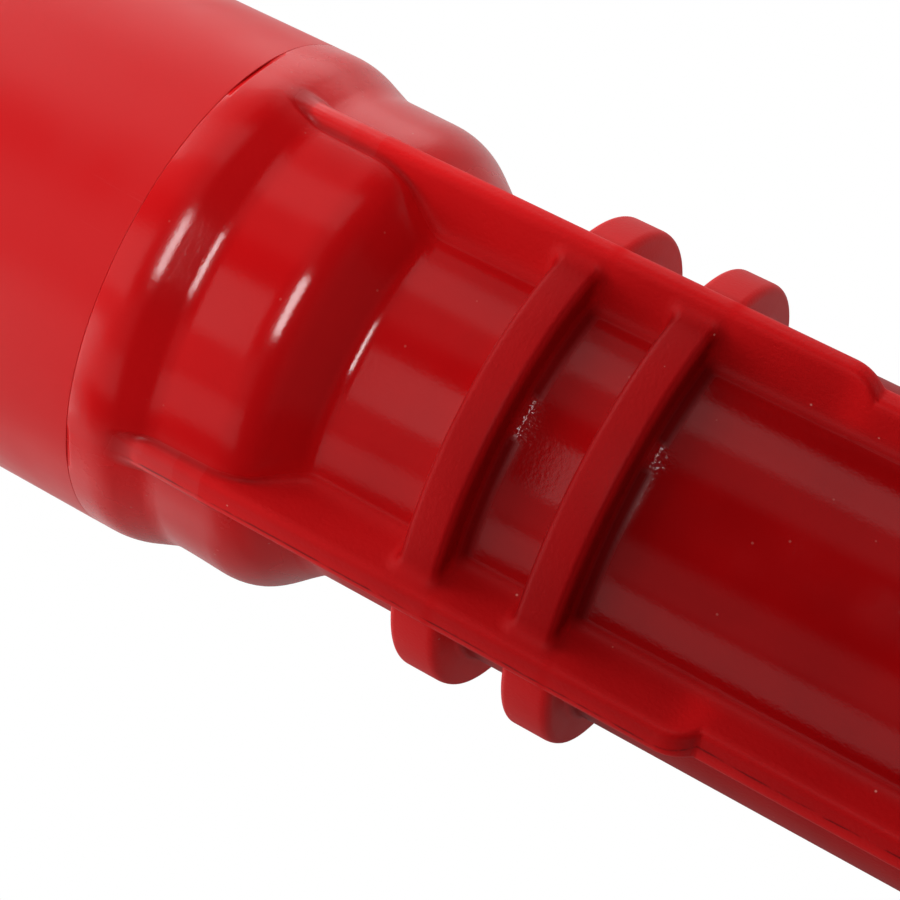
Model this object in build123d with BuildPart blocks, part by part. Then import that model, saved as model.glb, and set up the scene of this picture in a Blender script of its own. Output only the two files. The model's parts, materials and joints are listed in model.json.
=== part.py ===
from build123d import *

import os
from math import cos, degrees, hypot, radians, sin

# Slide-hammer post driver. The finned lower unit stands over the post. The hammer barrel slides up on its
# guide tube and drops its weight on the anvil at the top of the tube. The handles are on the barrel.
# Millimetres. +Z runs up the tool's axis and the origin is on that axis, in the plane of the mouth.
# Depths are measured down from the seam, where the barrel's lower rim meets the collar. Azimuths are in
# degrees from the front, -Y, towards +X.

# ---------------------------------------------------------------------------------------------------------
# Driving dimensions
# ---------------------------------------------------------------------------------------------------------

# Clearances
running_clearance = 0.05  # radial, between a piece and what it slides or turns on
seat_clearance = 0.1  # between pieces that are fixed to each other
free_clearance = 0.3  # radial, between pieces that pass each other without touching
rest_gap = 0.3  # between the faces that meet when the hammer is down or fully up
axial_float = 0.1  # between the guide bush and each snap ring

# Guide tube and anvil
tube_radius = 27.0
tube_wall = 2.5
tube_length = 490.0
mouth_chamfer = 1.5
anvil_plug_length = 48.0
anvil_seat_step = 0.3  # how much wider the tube is bored where it holds the anvil's plug and the post pad
anvil_flange_height = 18.0
anvil_edge_chamfer = 1.5
anvil_pin_radius = 4.0
anvil_pin_chamfer = 0.5
anvil_pin_drop = 13.0  # from the tube's top end to the upper pin
anvil_pin_pitch = 14.0  # from the upper pin to the lower one
wear_ring_width = 8.0
wear_ring_depth = 2.4
wear_ring_split = 1.5
post_pad_thickness = 6.0
pad_screw_radius = 3.0
pad_screw_head_radius = 6.0
pad_screw_head_depth = 3.0
pad_screw_length = 12.0

# Mouth ring
mouth_ring_height = 24.0
mouth_ring_land = 12.0  # height of its widest stretch
mouth_ring_overhang = 5.0  # beyond the barrel's radius, at its widest
mouth_ring_setback = 1.5  # inside the barrel's radius, at its top
mouth_ring_edge = 1.5
mouth_screw_count = 4
mouth_screw_radius = 4.0
mouth_screw_height = 7.0
mouth_screw_inset = 1.0  # from the screw's tip to the tube's bore
mouth_screw_recess = 0.8
mouth_screw_socket_width = 4.0
mouth_screw_socket_depth = 4.0

# Finned neck
seam_height = 200.0
neck_wall = 2.1
foot_height = 10.0
foot_taper = 6.0
collar_depth = 6.15
shoulder_depth = 12.46
shoulder_end_depth = 25.7
neck_depth = 32.5
shoulder_setback = 2.6  # from the collar's radius to the shoulder's
shoulder_taper = 0.2
collar_round = 11.9
shoulder_crease = 2.0
shoulder_round = 6.9
neck_crease = 2.0
hoop_count = 2
hoop_depth = 51.9  # from the seam to the middle of the first hoop
hoop_pitch = 16.9
hoop_thickness = 5.8
hoop_height = 5.1
hoop_edge_round = 1.0
hoop_root_round = 0.8
hoop_corner_round = 2.0  # where a hoop runs into a fin
hoop_corner_inset = 0.25  # how far each corner piece stands back inside its fin
fin_setback = 1.1  # from the collar's radius to the fins' rims
fin_step = 2.4  # how much lower the fins stand near the mouth
fin_step_depth = 88.4
fin_step_length = 4.8
fin_top_depth = 5.0
fin_inner_azimuth = 41.9  # at the rim, on the side towards the front or the back panel
fin_draft = 3.0  # in degrees about the axis, from the rim to the foot of the fin
fin_root_round = 0.8
fin_rim_round = 0.5
fin_rim_width = 3.5
parting_fin_rim_width = 4.9  # the fin that carries the mould's parting line
buffer_recess_depth = 8.0
buffer_recess_wall = 5.0
neck_screw_count = 4
neck_screw_rise = 28.0  # above the mouth ring
neck_screw_radius = 2.5
neck_screw_head_radius = 4.6
neck_screw_head_depth = 1.7
neck_screw_inset = 0.8  # from the screw's tip to the tube's bore

# Hammer barrel
barrel_standoff = 11.0  # from the guide tube's outside to the barrel's
barrel_wall = 3.0
barrel_rim_round = 0.4
liner_wall = 2.4
weight_length = 120.0
weight_edge_chamfer = 1.0
weight_thread_depth = 48.0
wiper_height = 4.0
snap_ring_thickness = 2.0
snap_ring_depth = 1.3  # how far a ring reaches into the liner's wall
snap_ring_width = 3.3
snap_ring_split = 9.0
bush_length = 30.0
bush_edge_chamfer = 0.8

# Cap
cap_spigot = 12.0
cap_height = 16.0
cap_overhang = 2.0
cap_round = 5.0
cap_recess_radius = 24.0
cap_recess_depth = 3.0
cap_bolt_radius = 8.0
cap_bolt_flats = 24.0
cap_bolt_head = 10.0
cap_bolt_grip = 40.0  # length of the bolt inside the weight
cap_bolt_clearance = 0.5
cap_washer_radius = 15.0
cap_washer_thickness = 3.0
cap_screw_count = 4
cap_screw_radius = 3.0
cap_screw_length = 12.0
cap_screw_head_radius = 5.0
cap_screw_head_height = 2.6

# Handles and clamps
lower_clamp_rise = 85.0  # from the seam to the middle of the lower clamp
upper_clamp_drop = 65.0  # from the barrel's top rim to the middle of the upper clamp
handle_reach = 95.0  # from the tool's axis to the grip's axis
handle_radius = 10.0
handle_wall = 2.0
handle_bend = 28.0
handle_tenon = 18.0  # length of each handle end inside its socket
grip_length = 150.0
grip_wall = 4.0
grip_end_round = 2.0
grip_groove_count = 5
grip_groove_pitch = 24.0
grip_groove_radius = 1.6
clamp_height = 26.0
clamp_wall = 3.9
clamp_gap = 2.0
clamp_edge_round = 1.0
ear_thickness = 5.0
ear_length = 15.0
socket_radius = 14.0
socket_length = 24.0  # beyond the clamp's band
clamp_bolt_radius = 3.0
clamp_bolt_clearance = 0.3
clamp_bolt_flats = 10.0
clamp_bolt_head = 4.0
clamp_nut_height = 5.0
clamp_bolt_tail = 2.0
lock_screw_radius = 3.0
lock_screw_head_radius = 5.0
lock_screw_head_height = 5.0
lock_screw_socket_width = 5.0
lock_screw_socket_depth = 2.5

# ---------------------------------------------------------------------------------------------------------
# Sizes that follow
# ---------------------------------------------------------------------------------------------------------

tube_bore = tube_radius - tube_wall
barrel_radius = tube_radius + barrel_standoff
mouth_ring_radius = barrel_radius + mouth_ring_overhang
mouth_ring_top_radius = barrel_radius - mouth_ring_setback
neck_bore = tube_radius + seat_clearance
neck_radius = neck_bore + neck_wall
shoulder_radius = barrel_radius - shoulder_setback
buffer_recess_radius = barrel_radius - buffer_recess_wall
hoop_radius = neck_radius + hoop_height
rim_radius = barrel_radius - fin_setback
lower_rim_radius = rim_radius - fin_step
liner_radius = barrel_radius - barrel_wall - seat_clearance
liner_bore = liner_radius - liner_wall
anvil_flange_radius = liner_bore - free_clearance - seat_clearance
fin_section_reach = barrel_radius + fin_step

barrel_bottom = seam_height + rest_gap
wiper_top = barrel_bottom + wiper_height
lower_snap_bottom = wiper_top + seat_clearance
bush_bottom = lower_snap_bottom + snap_ring_thickness + axial_float
bush_top = bush_bottom + bush_length
upper_snap_bottom = bush_top + axial_float
upper_snap_top = upper_snap_bottom + snap_ring_thickness
anvil_top = tube_length + anvil_flange_height
weight_bottom = anvil_top + rest_gap
weight_top = weight_bottom + weight_length
barrel_top = weight_top + cap_spigot
cap_top = barrel_top + cap_height
lift_travel = tube_length - upper_snap_top - rest_gap

plug_bottom = tube_length - anvil_plug_length
anvil_seat_radius = tube_bore + anvil_seat_step
plug_radius = anvil_seat_radius - running_clearance
pad_bottom = plug_bottom - post_pad_thickness
neck_screw_height = mouth_ring_height + neck_screw_rise

lower_clamp_height = seam_height + lower_clamp_rise
upper_clamp_height = barrel_top - upper_clamp_drop
clamp_bore = barrel_radius + seat_clearance
band_radius = clamp_bore + clamp_wall
ear_tip = band_radius + ear_length
clamp_bolt_offset = band_radius + ear_length / 2
socket_tip = band_radius + socket_length
socket_bore = handle_radius + seat_clearance
handle_end = socket_tip - handle_tenon
grip_bore = handle_radius + seat_clearance
grip_radius = grip_bore + grip_wall
lock_screw_reach = socket_tip - handle_tenon / 2
ear_face = clamp_gap / 2 + ear_thickness

MADE = []


def finish(part: Part, name: str) -> None:
    """Label a finished piece and write it to its own file."""
    part.label = name
    export_step(part, f"parts/{name}.step")
    MADE.append(part)


def at_azimuth(radius: float, azimuth: float) -> tuple[float, float]:
    """Give the point in the XY plane at a radius and an azimuth from the front."""
    angle = radians(azimuth)
    return radius * sin(angle), -radius * cos(angle)


def ring(inner: float, outer: float, bottom: float, height: float) -> Part:
    """Make a plain round ring about the tool's axis."""
    with BuildPart() as made:
        with BuildSketch(Plane.XY.offset(bottom)):
            Circle(outer)
            Circle(inner, mode=Mode.SUBTRACT)
        extrude(amount=height)
    return made.part


def split_ring(inner: float, outer: float, bottom: float, height: float, split: float) -> Part:
    """Make a ring about the tool's axis with a gap at the back, as a snap ring or a wear ring has."""
    with BuildPart() as made:
        add(ring(inner, outer, bottom, height))
        with BuildSketch(Plane.XY.offset(bottom)):
            with Locations((0, outer)):
                Rectangle(split, 2 * (outer - inner) + outer / 2)
        extrude(amount=height, mode=Mode.SUBTRACT)
    return made.part


def radial_rod(radius: float, inner: float, outer: float, height: float) -> Part:
    """Make a round rod along +X, from one distance off the axis to another."""
    with BuildPart() as made:
        with BuildSketch(Plane(origin=(inner, 0, height), x_dir=(0, 1, 0), z_dir=(1, 0, 0))):
            Circle(radius)
        extrude(amount=outer - inner)
    return made.part


os.makedirs("parts", exist_ok=True)

# ---------------------------------------------------------------------------------------------------------
# Lower unit: guide tube, anvil and post pad
# ---------------------------------------------------------------------------------------------------------


def cross_rod(radius: float, half_length: float, drop: float, along: Plane) -> Part:
    """Make a round rod across the axis, at a drop below the tube's top end."""
    with BuildPart() as made:
        with BuildSketch(along):
            with Locations((0, tube_length - drop)):
                Circle(radius)
        extrude(amount=half_length, both=True)
    return made.part


upper_pin_drop = anvil_pin_drop
lower_pin_drop = anvil_pin_drop + anvil_pin_pitch
pin_hole_radius = anvil_pin_radius + running_clearance
upper_pin_hole = cross_rod(pin_hole_radius, tube_radius * 2, upper_pin_drop, Plane.YZ)
lower_pin_hole = cross_rod(pin_hole_radius, tube_radius * 2, lower_pin_drop, Plane.XZ)

with BuildPart() as guide_tube:
    add(ring(tube_bore, tube_radius, 0, tube_length))
    chamfer(guide_tube.edges().group_by(Axis.Z)[0].sort_by(SortBy.RADIUS)[0], mouth_chamfer)
    with BuildSketch(Plane.XY.offset(pad_bottom)):
        Circle(anvil_seat_radius)
    extrude(amount=tube_length - pad_bottom, mode=Mode.SUBTRACT)
    add(upper_pin_hole, mode=Mode.SUBTRACT)
    add(lower_pin_hole, mode=Mode.SUBTRACT)
    with PolarLocations(0, mouth_screw_count):
        add(
            radial_rod(mouth_screw_radius + seat_clearance, tube_bore / 2, tube_radius * 2, mouth_screw_height),
            mode=Mode.SUBTRACT,
        )
    with PolarLocations(0, neck_screw_count):
        add(
            radial_rod(neck_screw_radius + seat_clearance, tube_bore / 2, tube_radius * 2, neck_screw_height),
            mode=Mode.SUBTRACT,
        )
finish(guide_tube.part, "guide_tube")

wear_ring_radius = liner_bore - running_clearance - axial_float / 4
groove_radius = anvil_flange_radius - wear_ring_depth
groove_bottom = tube_length + (anvil_flange_height - wear_ring_width) / 2 - axial_float
groove_width = wear_ring_width + 2 * axial_float

with BuildPart() as anvil:
    with BuildSketch(Plane.XY.offset(plug_bottom)):
        Circle(plug_radius)
    extrude(amount=anvil_plug_length)
    with BuildSketch(Plane.XY.offset(tube_length)):
        Circle(anvil_flange_radius)
    extrude(amount=anvil_flange_height)
    chamfer(anvil.edges().group_by(Axis.Z)[-1], anvil_edge_chamfer)
    add(ring(groove_radius, anvil_flange_radius * 2, groove_bottom, groove_width), mode=Mode.SUBTRACT)
    add(upper_pin_hole, mode=Mode.SUBTRACT)
    add(lower_pin_hole, mode=Mode.SUBTRACT)
    with BuildSketch(Plane.XY.offset(plug_bottom)):
        Circle(pad_screw_radius + seat_clearance)
    extrude(amount=pad_screw_length, mode=Mode.SUBTRACT)
finish(anvil.part, "anvil")

finish(
    split_ring(
        groove_radius + seat_clearance,
        wear_ring_radius,
        groove_bottom + axial_float,
        wear_ring_width,
        wear_ring_split,
    ),
    "anvil_wear_ring",
)


pin_half_length = tube_radius - free_clearance

with BuildPart() as anvil_pin_upper:
    add(cross_rod(anvil_pin_radius, pin_half_length, upper_pin_drop, Plane.YZ))
    chamfer(anvil_pin_upper.edges().filter_by(GeomType.CIRCLE), anvil_pin_chamfer)
finish(anvil_pin_upper.part, "anvil_pin_upper")

with BuildPart() as anvil_pin_lower:
    add(cross_rod(anvil_pin_radius, pin_half_length, lower_pin_drop, Plane.XZ))
    chamfer(anvil_pin_lower.edges().filter_by(GeomType.CIRCLE), anvil_pin_chamfer)
finish(anvil_pin_lower.part, "anvil_pin_lower")

with BuildPart() as post_pad:
    with BuildSketch(Plane.XY.offset(pad_bottom)):
        Circle(anvil_seat_radius - seat_clearance)
        Circle(pad_screw_radius + seat_clearance, mode=Mode.SUBTRACT)
    extrude(amount=post_pad_thickness)
    with BuildSketch(Plane.XY.offset(pad_bottom)):
        Circle(pad_screw_head_radius + seat_clearance)
    extrude(amount=pad_screw_head_depth, mode=Mode.SUBTRACT)
finish(post_pad.part, "post_pad")

with BuildPart() as pad_screw:
    with BuildSketch(Plane.XY.offset(pad_bottom)):
        Circle(pad_screw_head_radius)
    extrude(amount=pad_screw_head_depth)
    with BuildSketch(Plane.XY.offset(pad_bottom + pad_screw_head_depth)):
        Circle(pad_screw_radius)
    extrude(amount=post_pad_thickness - pad_screw_head_depth + pad_screw_length - free_clearance)
    with BuildSketch(Plane.XY.offset(pad_bottom)):
        RegularPolygon(pad_screw_radius, 6)
    extrude(amount=pad_screw_head_depth - seat_clearance * 5, mode=Mode.SUBTRACT)
finish(pad_screw.part, "pad_screw")

# ---------------------------------------------------------------------------------------------------------
# Lower unit: mouth ring
# ---------------------------------------------------------------------------------------------------------

with BuildPart() as mouth_ring:
    with BuildSketch(Plane.XZ):
        with BuildLine():
            Polyline(
                (neck_bore, 0),
                (mouth_ring_radius, 0),
                (mouth_ring_radius, mouth_ring_land),
                (mouth_ring_top_radius, mouth_ring_height),
                (neck_bore, mouth_ring_height),
                close=True,
            )
        make_face()
    revolve(axis=Axis.Z)
    chamfer(mouth_ring.edges().group_by(Axis.Z)[0].sort_by(SortBy.RADIUS)[-1], mouth_ring_edge)
    with PolarLocations(0, mouth_screw_count):
        add(
            radial_rod(mouth_screw_radius + seat_clearance, tube_radius / 2, mouth_ring_radius * 2, mouth_screw_height),
            mode=Mode.SUBTRACT,
        )
finish(mouth_ring.part, "mouth_ring")

mouth_screw_face = mouth_ring_radius - mouth_screw_recess

with BuildPart() as mouth_screw:
    add(radial_rod(mouth_screw_radius, tube_bore + mouth_screw_inset, mouth_screw_face, mouth_screw_height))
    with BuildSketch(Plane(origin=(mouth_screw_face, 0, mouth_screw_height), x_dir=(0, 1, 0), z_dir=(1, 0, 0))):
        RegularPolygon(mouth_screw_socket_width / 2, 6)
    extrude(amount=-mouth_screw_socket_depth, mode=Mode.SUBTRACT)

with BuildPart() as mouth_screws:
    with PolarLocations(0, mouth_screw_count):
        add(mouth_screw.part)
finish(mouth_screws.part, "mouth_screws")

# ---------------------------------------------------------------------------------------------------------
# Lower unit: the finned neck, one moulding
# ---------------------------------------------------------------------------------------------------------


def depth(value: float) -> float:
    """Turn a depth below the seam into a height."""
    return seam_height - value


# The neck's outline from the foot up to the collar, with the radius of each corner's rounding
foot_top = mouth_ring_height + foot_height
neck_corners = [
    ((neck_radius, foot_top + foot_taper), neck_crease),
    ((neck_radius, depth(neck_depth)), neck_crease),
    ((shoulder_radius - shoulder_taper, depth(shoulder_end_depth)), shoulder_round),
    ((shoulder_radius, depth(shoulder_depth)), shoulder_crease),
    ((barrel_radius, depth(collar_depth)), collar_round),
]

with BuildPart() as neck_body:
    with BuildSketch(Plane.XZ) as neck_profile:
        with BuildLine():
            Polyline(
                (neck_bore, mouth_ring_height),
                (lower_rim_radius, mouth_ring_height),
                (lower_rim_radius, foot_top),
                *[corner for corner, _ in neck_corners],
                (barrel_radius, seam_height),
                (neck_bore, seam_height),
                close=True,
            )
        make_face()
        for corner, radius in neck_corners:
            fillet(neck_profile.vertices().sort_by_distance(corner)[0], radius)
    revolve(axis=Axis.Z)

with BuildPart() as hoop:
    with BuildSketch(Plane.XZ) as hoop_profile:
        with BuildLine():
            Polyline(
                (neck_bore + neck_wall / 2, -hoop_thickness / 2 - hoop_root_round * 2),
                (neck_radius, -hoop_thickness / 2 - hoop_root_round * 2),
                (neck_radius, -hoop_thickness / 2),
                (hoop_radius, -hoop_thickness / 2),
                (hoop_radius, hoop_thickness / 2),
                (neck_radius, hoop_thickness / 2),
                (neck_radius, hoop_thickness / 2 + hoop_root_round * 2),
                (neck_bore + neck_wall / 2, hoop_thickness / 2 + hoop_root_round * 2),
                close=True,
            )
        make_face()
        for side in (-1, 1):
            root = (neck_radius, side * hoop_thickness / 2)
            fillet(hoop_profile.vertices().sort_by_distance(root)[0], hoop_root_round)
            edge = (hoop_radius, side * hoop_thickness / 2)
            fillet(hoop_profile.vertices().sort_by_distance(edge)[0], hoop_edge_round)
    revolve(axis=Axis.Z)


def fin_outline(start: float, side: int, rim_width: float) -> list[tuple[float, float]]:
    """Give the corners of one fin's section: its two drafted faces, carried past the rim."""
    rim_angle = degrees(rim_width / rim_radius)
    inner_rim = at_azimuth(rim_radius, start + side * fin_inner_azimuth)
    outer_rim = at_azimuth(rim_radius, start + side * (fin_inner_azimuth + rim_angle))
    inner_foot = at_azimuth(neck_radius, start + side * (fin_inner_azimuth - fin_draft))
    outer_foot = at_azimuth(neck_radius, start + side * (fin_inner_azimuth + rim_angle + fin_draft))
    corners = []
    for rim, foot, reach in ((inner_rim, inner_foot, 1), (outer_rim, outer_foot, -1)):
        run = Vector(*rim) - Vector(*foot)
        beyond = Vector(*rim) + run.normalized() * fin_step
        within = Vector(*foot) - run.normalized() * neck_wall / 2
        corners += [within, beyond] if reach > 0 else [beyond, within]
    return [(corner.X, corner.Y) for corner in corners]


def off_axis(point: Vector) -> float:
    """Give a point's distance from the tool's axis."""
    return hypot(point.X, point.Y)


def fin_section(rim: float, height: float) -> Sketch:
    """Draw the neck and its four fins in section at one height, with rounded roots and rims."""
    with BuildSketch(Plane.XY.offset(height)) as section:
        for start in (0, 180):
            for side, rim_width in ((1, fin_rim_width), (-1, parting_fin_rim_width)):
                with BuildLine():
                    Polyline(*fin_outline(start, side, rim_width), close=True)
                make_face()
        Circle(rim, mode=Mode.INTERSECT)
        fillet(section.vertices().filter_by(lambda corner: off_axis(Vector(corner)) > hoop_radius), fin_rim_round)
        Circle(neck_radius)
        fillet(corners_at(section, neck_radius), fin_root_round)
        Circle(neck_bore, mode=Mode.SUBTRACT)
    return section.sketch


def corners_at(section: BuildSketch, radius: float) -> ShapeList:
    """Pick the corners of a section that lie at one distance from the axis."""
    nearly = seat_clearance / 10
    return section.vertices().filter_by(lambda corner: abs(off_axis(Vector(corner)) - radius) < nearly)


def hoop_corners() -> Part:
    """Make the rounded webs that blend one hoop into the four fins, about the hoop's middle plane."""
    with BuildPart() as made:
        with BuildSketch(Plane.XY.offset(-hoop_thickness / 2)) as section:
            for start in (0, 180):
                for side, rim_width in ((1, fin_rim_width), (-1, parting_fin_rim_width)):
                    with BuildLine():
                        Polyline(*fin_outline(start, side, rim_width), close=True)
                    make_face()
            offset(amount=-hoop_corner_inset)
            Circle(hoop_radius)
            fillet(corners_at(section, hoop_radius), hoop_corner_round)
            Circle(rim_radius - hoop_corner_inset * 2, mode=Mode.INTERSECT)
            Circle(neck_bore + neck_wall / 2, mode=Mode.SUBTRACT)
        extrude(amount=hoop_thickness)
        ends = made.edges().group_by(Axis.Z)
        fillet((ends[0] + ends[-1]).filter_by(lambda edge: off_axis(edge @ 0.5) > neck_radius), hoop_edge_round)
    return made.part


fins_bottom = mouth_ring_height + foot_height / 2
fins_top = depth(fin_top_depth)
step_top = depth(fin_step_depth)
step_bottom = depth(fin_step_depth + fin_step_length)
low_section = fin_section(lower_rim_radius, fins_bottom)
low_section_end = fin_section(lower_rim_radius, step_bottom)
high_section = fin_section(rim_radius, step_top)

with BuildPart() as fins:
    extrude(low_section, amount=step_bottom - fins_bottom)
    loft([low_section_end, high_section], ruled=True)
    extrude(high_section, amount=fins_top - step_top)

neck_screw_seat = neck_radius - neck_screw_head_depth

hoop_webs = hoop_corners()

with BuildPart() as neck_shell:
    add(neck_body.part)
    for index in range(hoop_count):
        with Locations((0, 0, depth(hoop_depth + index * hoop_pitch))):
            add(hoop.part)
            add(hoop_webs)
    add(fins.part)
    with BuildSketch(Plane.XY.offset(seam_height)):
        Circle(buffer_recess_radius)
    extrude(amount=-buffer_recess_depth, mode=Mode.SUBTRACT)
    with PolarLocations(0, neck_screw_count):
        add(
            radial_rod(neck_screw_radius + seat_clearance, neck_bore / 2, neck_radius * 2, neck_screw_height),
            mode=Mode.SUBTRACT,
        )
        add(
            radial_rod(neck_screw_head_radius + seat_clearance, neck_screw_seat, neck_radius * 2, neck_screw_height),
            mode=Mode.SUBTRACT,
        )
finish(neck_shell.part, "neck_shell")

with BuildPart() as neck_screw:
    add(radial_rod(neck_screw_radius, tube_bore + neck_screw_inset, neck_screw_seat, neck_screw_height))
    add(radial_rod(neck_screw_head_radius, neck_screw_seat, neck_radius, neck_screw_height))
    with BuildSketch(Plane(origin=(neck_radius, 0, neck_screw_height), x_dir=(0, 1, 0), z_dir=(1, 0, 0))):
        RegularPolygon(neck_screw_radius / 2, 6)
    extrude(amount=-neck_screw_head_depth, mode=Mode.SUBTRACT)

with BuildPart() as neck_screws:
    with PolarLocations(0, neck_screw_count):
        add(neck_screw.part)
finish(neck_screws.part, "neck_screws")

finish(
    ring(
        tube_radius + free_clearance,
        buffer_recess_radius - seat_clearance,
        depth(buffer_recess_depth),
        buffer_recess_depth,
    ),
    "buffer_ring",
)

# ---------------------------------------------------------------------------------------------------------
# Guide bush: it slides on the tube, and the barrel turns on it
# ---------------------------------------------------------------------------------------------------------

with BuildPart() as guide_bush:
    add(
        ring(
            tube_radius + running_clearance,
            liner_bore - running_clearance - axial_float / 4,
            bush_bottom,
            bush_length,
        )
    )
    chamfer(guide_bush.edges().filter_by(GeomType.CIRCLE), bush_edge_chamfer)
finish(guide_bush.part, "guide_bush")

# ---------------------------------------------------------------------------------------------------------
# Hammer: barrel, liner, rings and weight
# ---------------------------------------------------------------------------------------------------------


cap_screw_height = barrel_top - cap_spigot / 2
cap_screw_start = 180 / cap_screw_count

with BuildPart() as cap_screw_holes:
    with PolarLocations(0, cap_screw_count, start_angle=cap_screw_start):
        add(
            radial_rod(
                cap_screw_radius + seat_clearance,
                barrel_radius - cap_screw_length,
                barrel_radius * 2,
                cap_screw_height,
            )
        )

with BuildPart() as barrel_shell:
    add(ring(barrel_radius - barrel_wall, barrel_radius, barrel_bottom, barrel_top - barrel_bottom))
    fillet(barrel_shell.edges().group_by(Axis.Z)[0].sort_by(SortBy.RADIUS)[-1], barrel_rim_round)
    add(cap_screw_holes.part, mode=Mode.SUBTRACT)
finish(barrel_shell.part, "barrel_shell")

snap_ring_radius = liner_bore + snap_ring_depth
snap_ring_bottoms = {"lower_snap_ring": lower_snap_bottom, "upper_snap_ring": upper_snap_bottom}
snap_groove_side = seat_clearance / 2

with BuildPart() as barrel_liner:
    add(ring(liner_bore, liner_radius, barrel_bottom, weight_top - barrel_bottom))
    for bottom in snap_ring_bottoms.values():
        groove_height = snap_ring_thickness + 2 * snap_groove_side
        groove = ring(tube_radius, snap_ring_radius + seat_clearance, bottom - snap_groove_side, groove_height)
        add(groove, mode=Mode.SUBTRACT)
finish(barrel_liner.part, "barrel_liner")

for name, bottom in snap_ring_bottoms.items():
    snap_ring = split_ring(
        snap_ring_radius - snap_ring_width, snap_ring_radius, bottom, snap_ring_thickness, snap_ring_split
    )
    finish(snap_ring, name)

finish(
    ring(tube_radius + free_clearance, liner_bore - seat_clearance, barrel_bottom, wiper_height),
    "wiper_seal",
)

with BuildPart() as strike_weight:
    with BuildSketch(Plane.XY.offset(weight_bottom)):
        Circle(liner_bore - seat_clearance)
    extrude(amount=weight_length)
    chamfer(strike_weight.edges().filter_by(GeomType.CIRCLE), weight_edge_chamfer)
    with BuildSketch(Plane.XY.offset(weight_top)):
        Circle(cap_bolt_radius + seat_clearance)
    extrude(amount=-weight_thread_depth, mode=Mode.SUBTRACT)
finish(strike_weight.part, "strike_weight")

# ---------------------------------------------------------------------------------------------------------
# Hammer: cap and its fasteners
# ---------------------------------------------------------------------------------------------------------

cap_radius = barrel_radius + cap_overhang
washer_bottom = cap_top - cap_recess_depth

with BuildPart() as top_cap:
    with BuildSketch(Plane.XY.offset(weight_top)):
        Circle(barrel_radius - barrel_wall - seat_clearance)
    extrude(amount=cap_spigot)
    with BuildSketch(Plane.XY.offset(barrel_top)):
        Circle(cap_radius)
    extrude(amount=cap_height)
    fillet(top_cap.edges().group_by(Axis.Z)[-1], cap_round)
    with BuildSketch(Plane.XY.offset(cap_top)):
        Circle(cap_recess_radius)
    extrude(amount=-cap_recess_depth, mode=Mode.SUBTRACT)
    with BuildSketch(Plane.XY.offset(cap_top)):
        Circle(cap_bolt_radius + cap_bolt_clearance)
    extrude(amount=-cap_height - cap_spigot, mode=Mode.SUBTRACT)
    add(cap_screw_holes.part, mode=Mode.SUBTRACT)
finish(top_cap.part, "top_cap")

finish(
    ring(cap_bolt_radius + cap_bolt_clearance, cap_washer_radius, washer_bottom, cap_washer_thickness),
    "cap_washer",
)

with BuildPart() as cap_bolt:
    with BuildSketch(Plane.XY.offset(washer_bottom + cap_washer_thickness)):
        RegularPolygon(cap_bolt_flats / 2, 6, major_radius=False)
    extrude(amount=cap_bolt_head)
    chamfer(cap_bolt.edges().group_by(Axis.Z)[-1], cap_bolt_head / 10)
    with BuildSketch(Plane.XY.offset(weight_top - cap_bolt_grip)):
        Circle(cap_bolt_radius)
    extrude(amount=washer_bottom + cap_washer_thickness - weight_top + cap_bolt_grip)
finish(cap_bolt.part, "cap_bolt")

with BuildPart() as cap_screw:
    add(
        radial_rod(
            cap_screw_radius, barrel_radius - cap_screw_length + free_clearance, barrel_radius, cap_screw_height
        )
    )
    add(radial_rod(cap_screw_head_radius, barrel_radius, barrel_radius + cap_screw_head_height, cap_screw_height))
    fillet(cap_screw.edges().group_by(Axis.X)[-1], cap_screw_head_height / 2)
    with BuildSketch(
        Plane(
            origin=(barrel_radius + cap_screw_head_height, 0, cap_screw_height),
            x_dir=(0, 1, 0),
            z_dir=(1, 0, 0),
        )
    ):
        RegularPolygon(cap_screw_radius / 2, 6)
    extrude(amount=-cap_screw_head_height, mode=Mode.SUBTRACT)

with BuildPart() as cap_side_screws:
    with PolarLocations(0, cap_screw_count, start_angle=cap_screw_start):
        add(cap_screw.part)
finish(cap_side_screws.part, "cap_side_screws")

# ---------------------------------------------------------------------------------------------------------
# Hammer: clamps, handles and grips
# ---------------------------------------------------------------------------------------------------------

grip_height = (lower_clamp_height + upper_clamp_height) / 2


def facing_x(side: int, reach: float, height: float) -> Plane:
    """Give the plane that faces outwards on the +X or the -X side, at a distance from the axis."""
    return Plane(origin=(side * reach, 0, height), x_dir=(0, side, 0), z_dir=(side, 0, 0))


def lock_screw_plane(side: int, height: float, away: int) -> Plane:
    """Give the plane at a handle arm's axis that faces up or down, where the arm's lock screw stands."""
    return Plane(origin=(side * lock_screw_reach, 0, height), x_dir=(1, 0, 0), z_dir=(0, 0, away))


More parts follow.
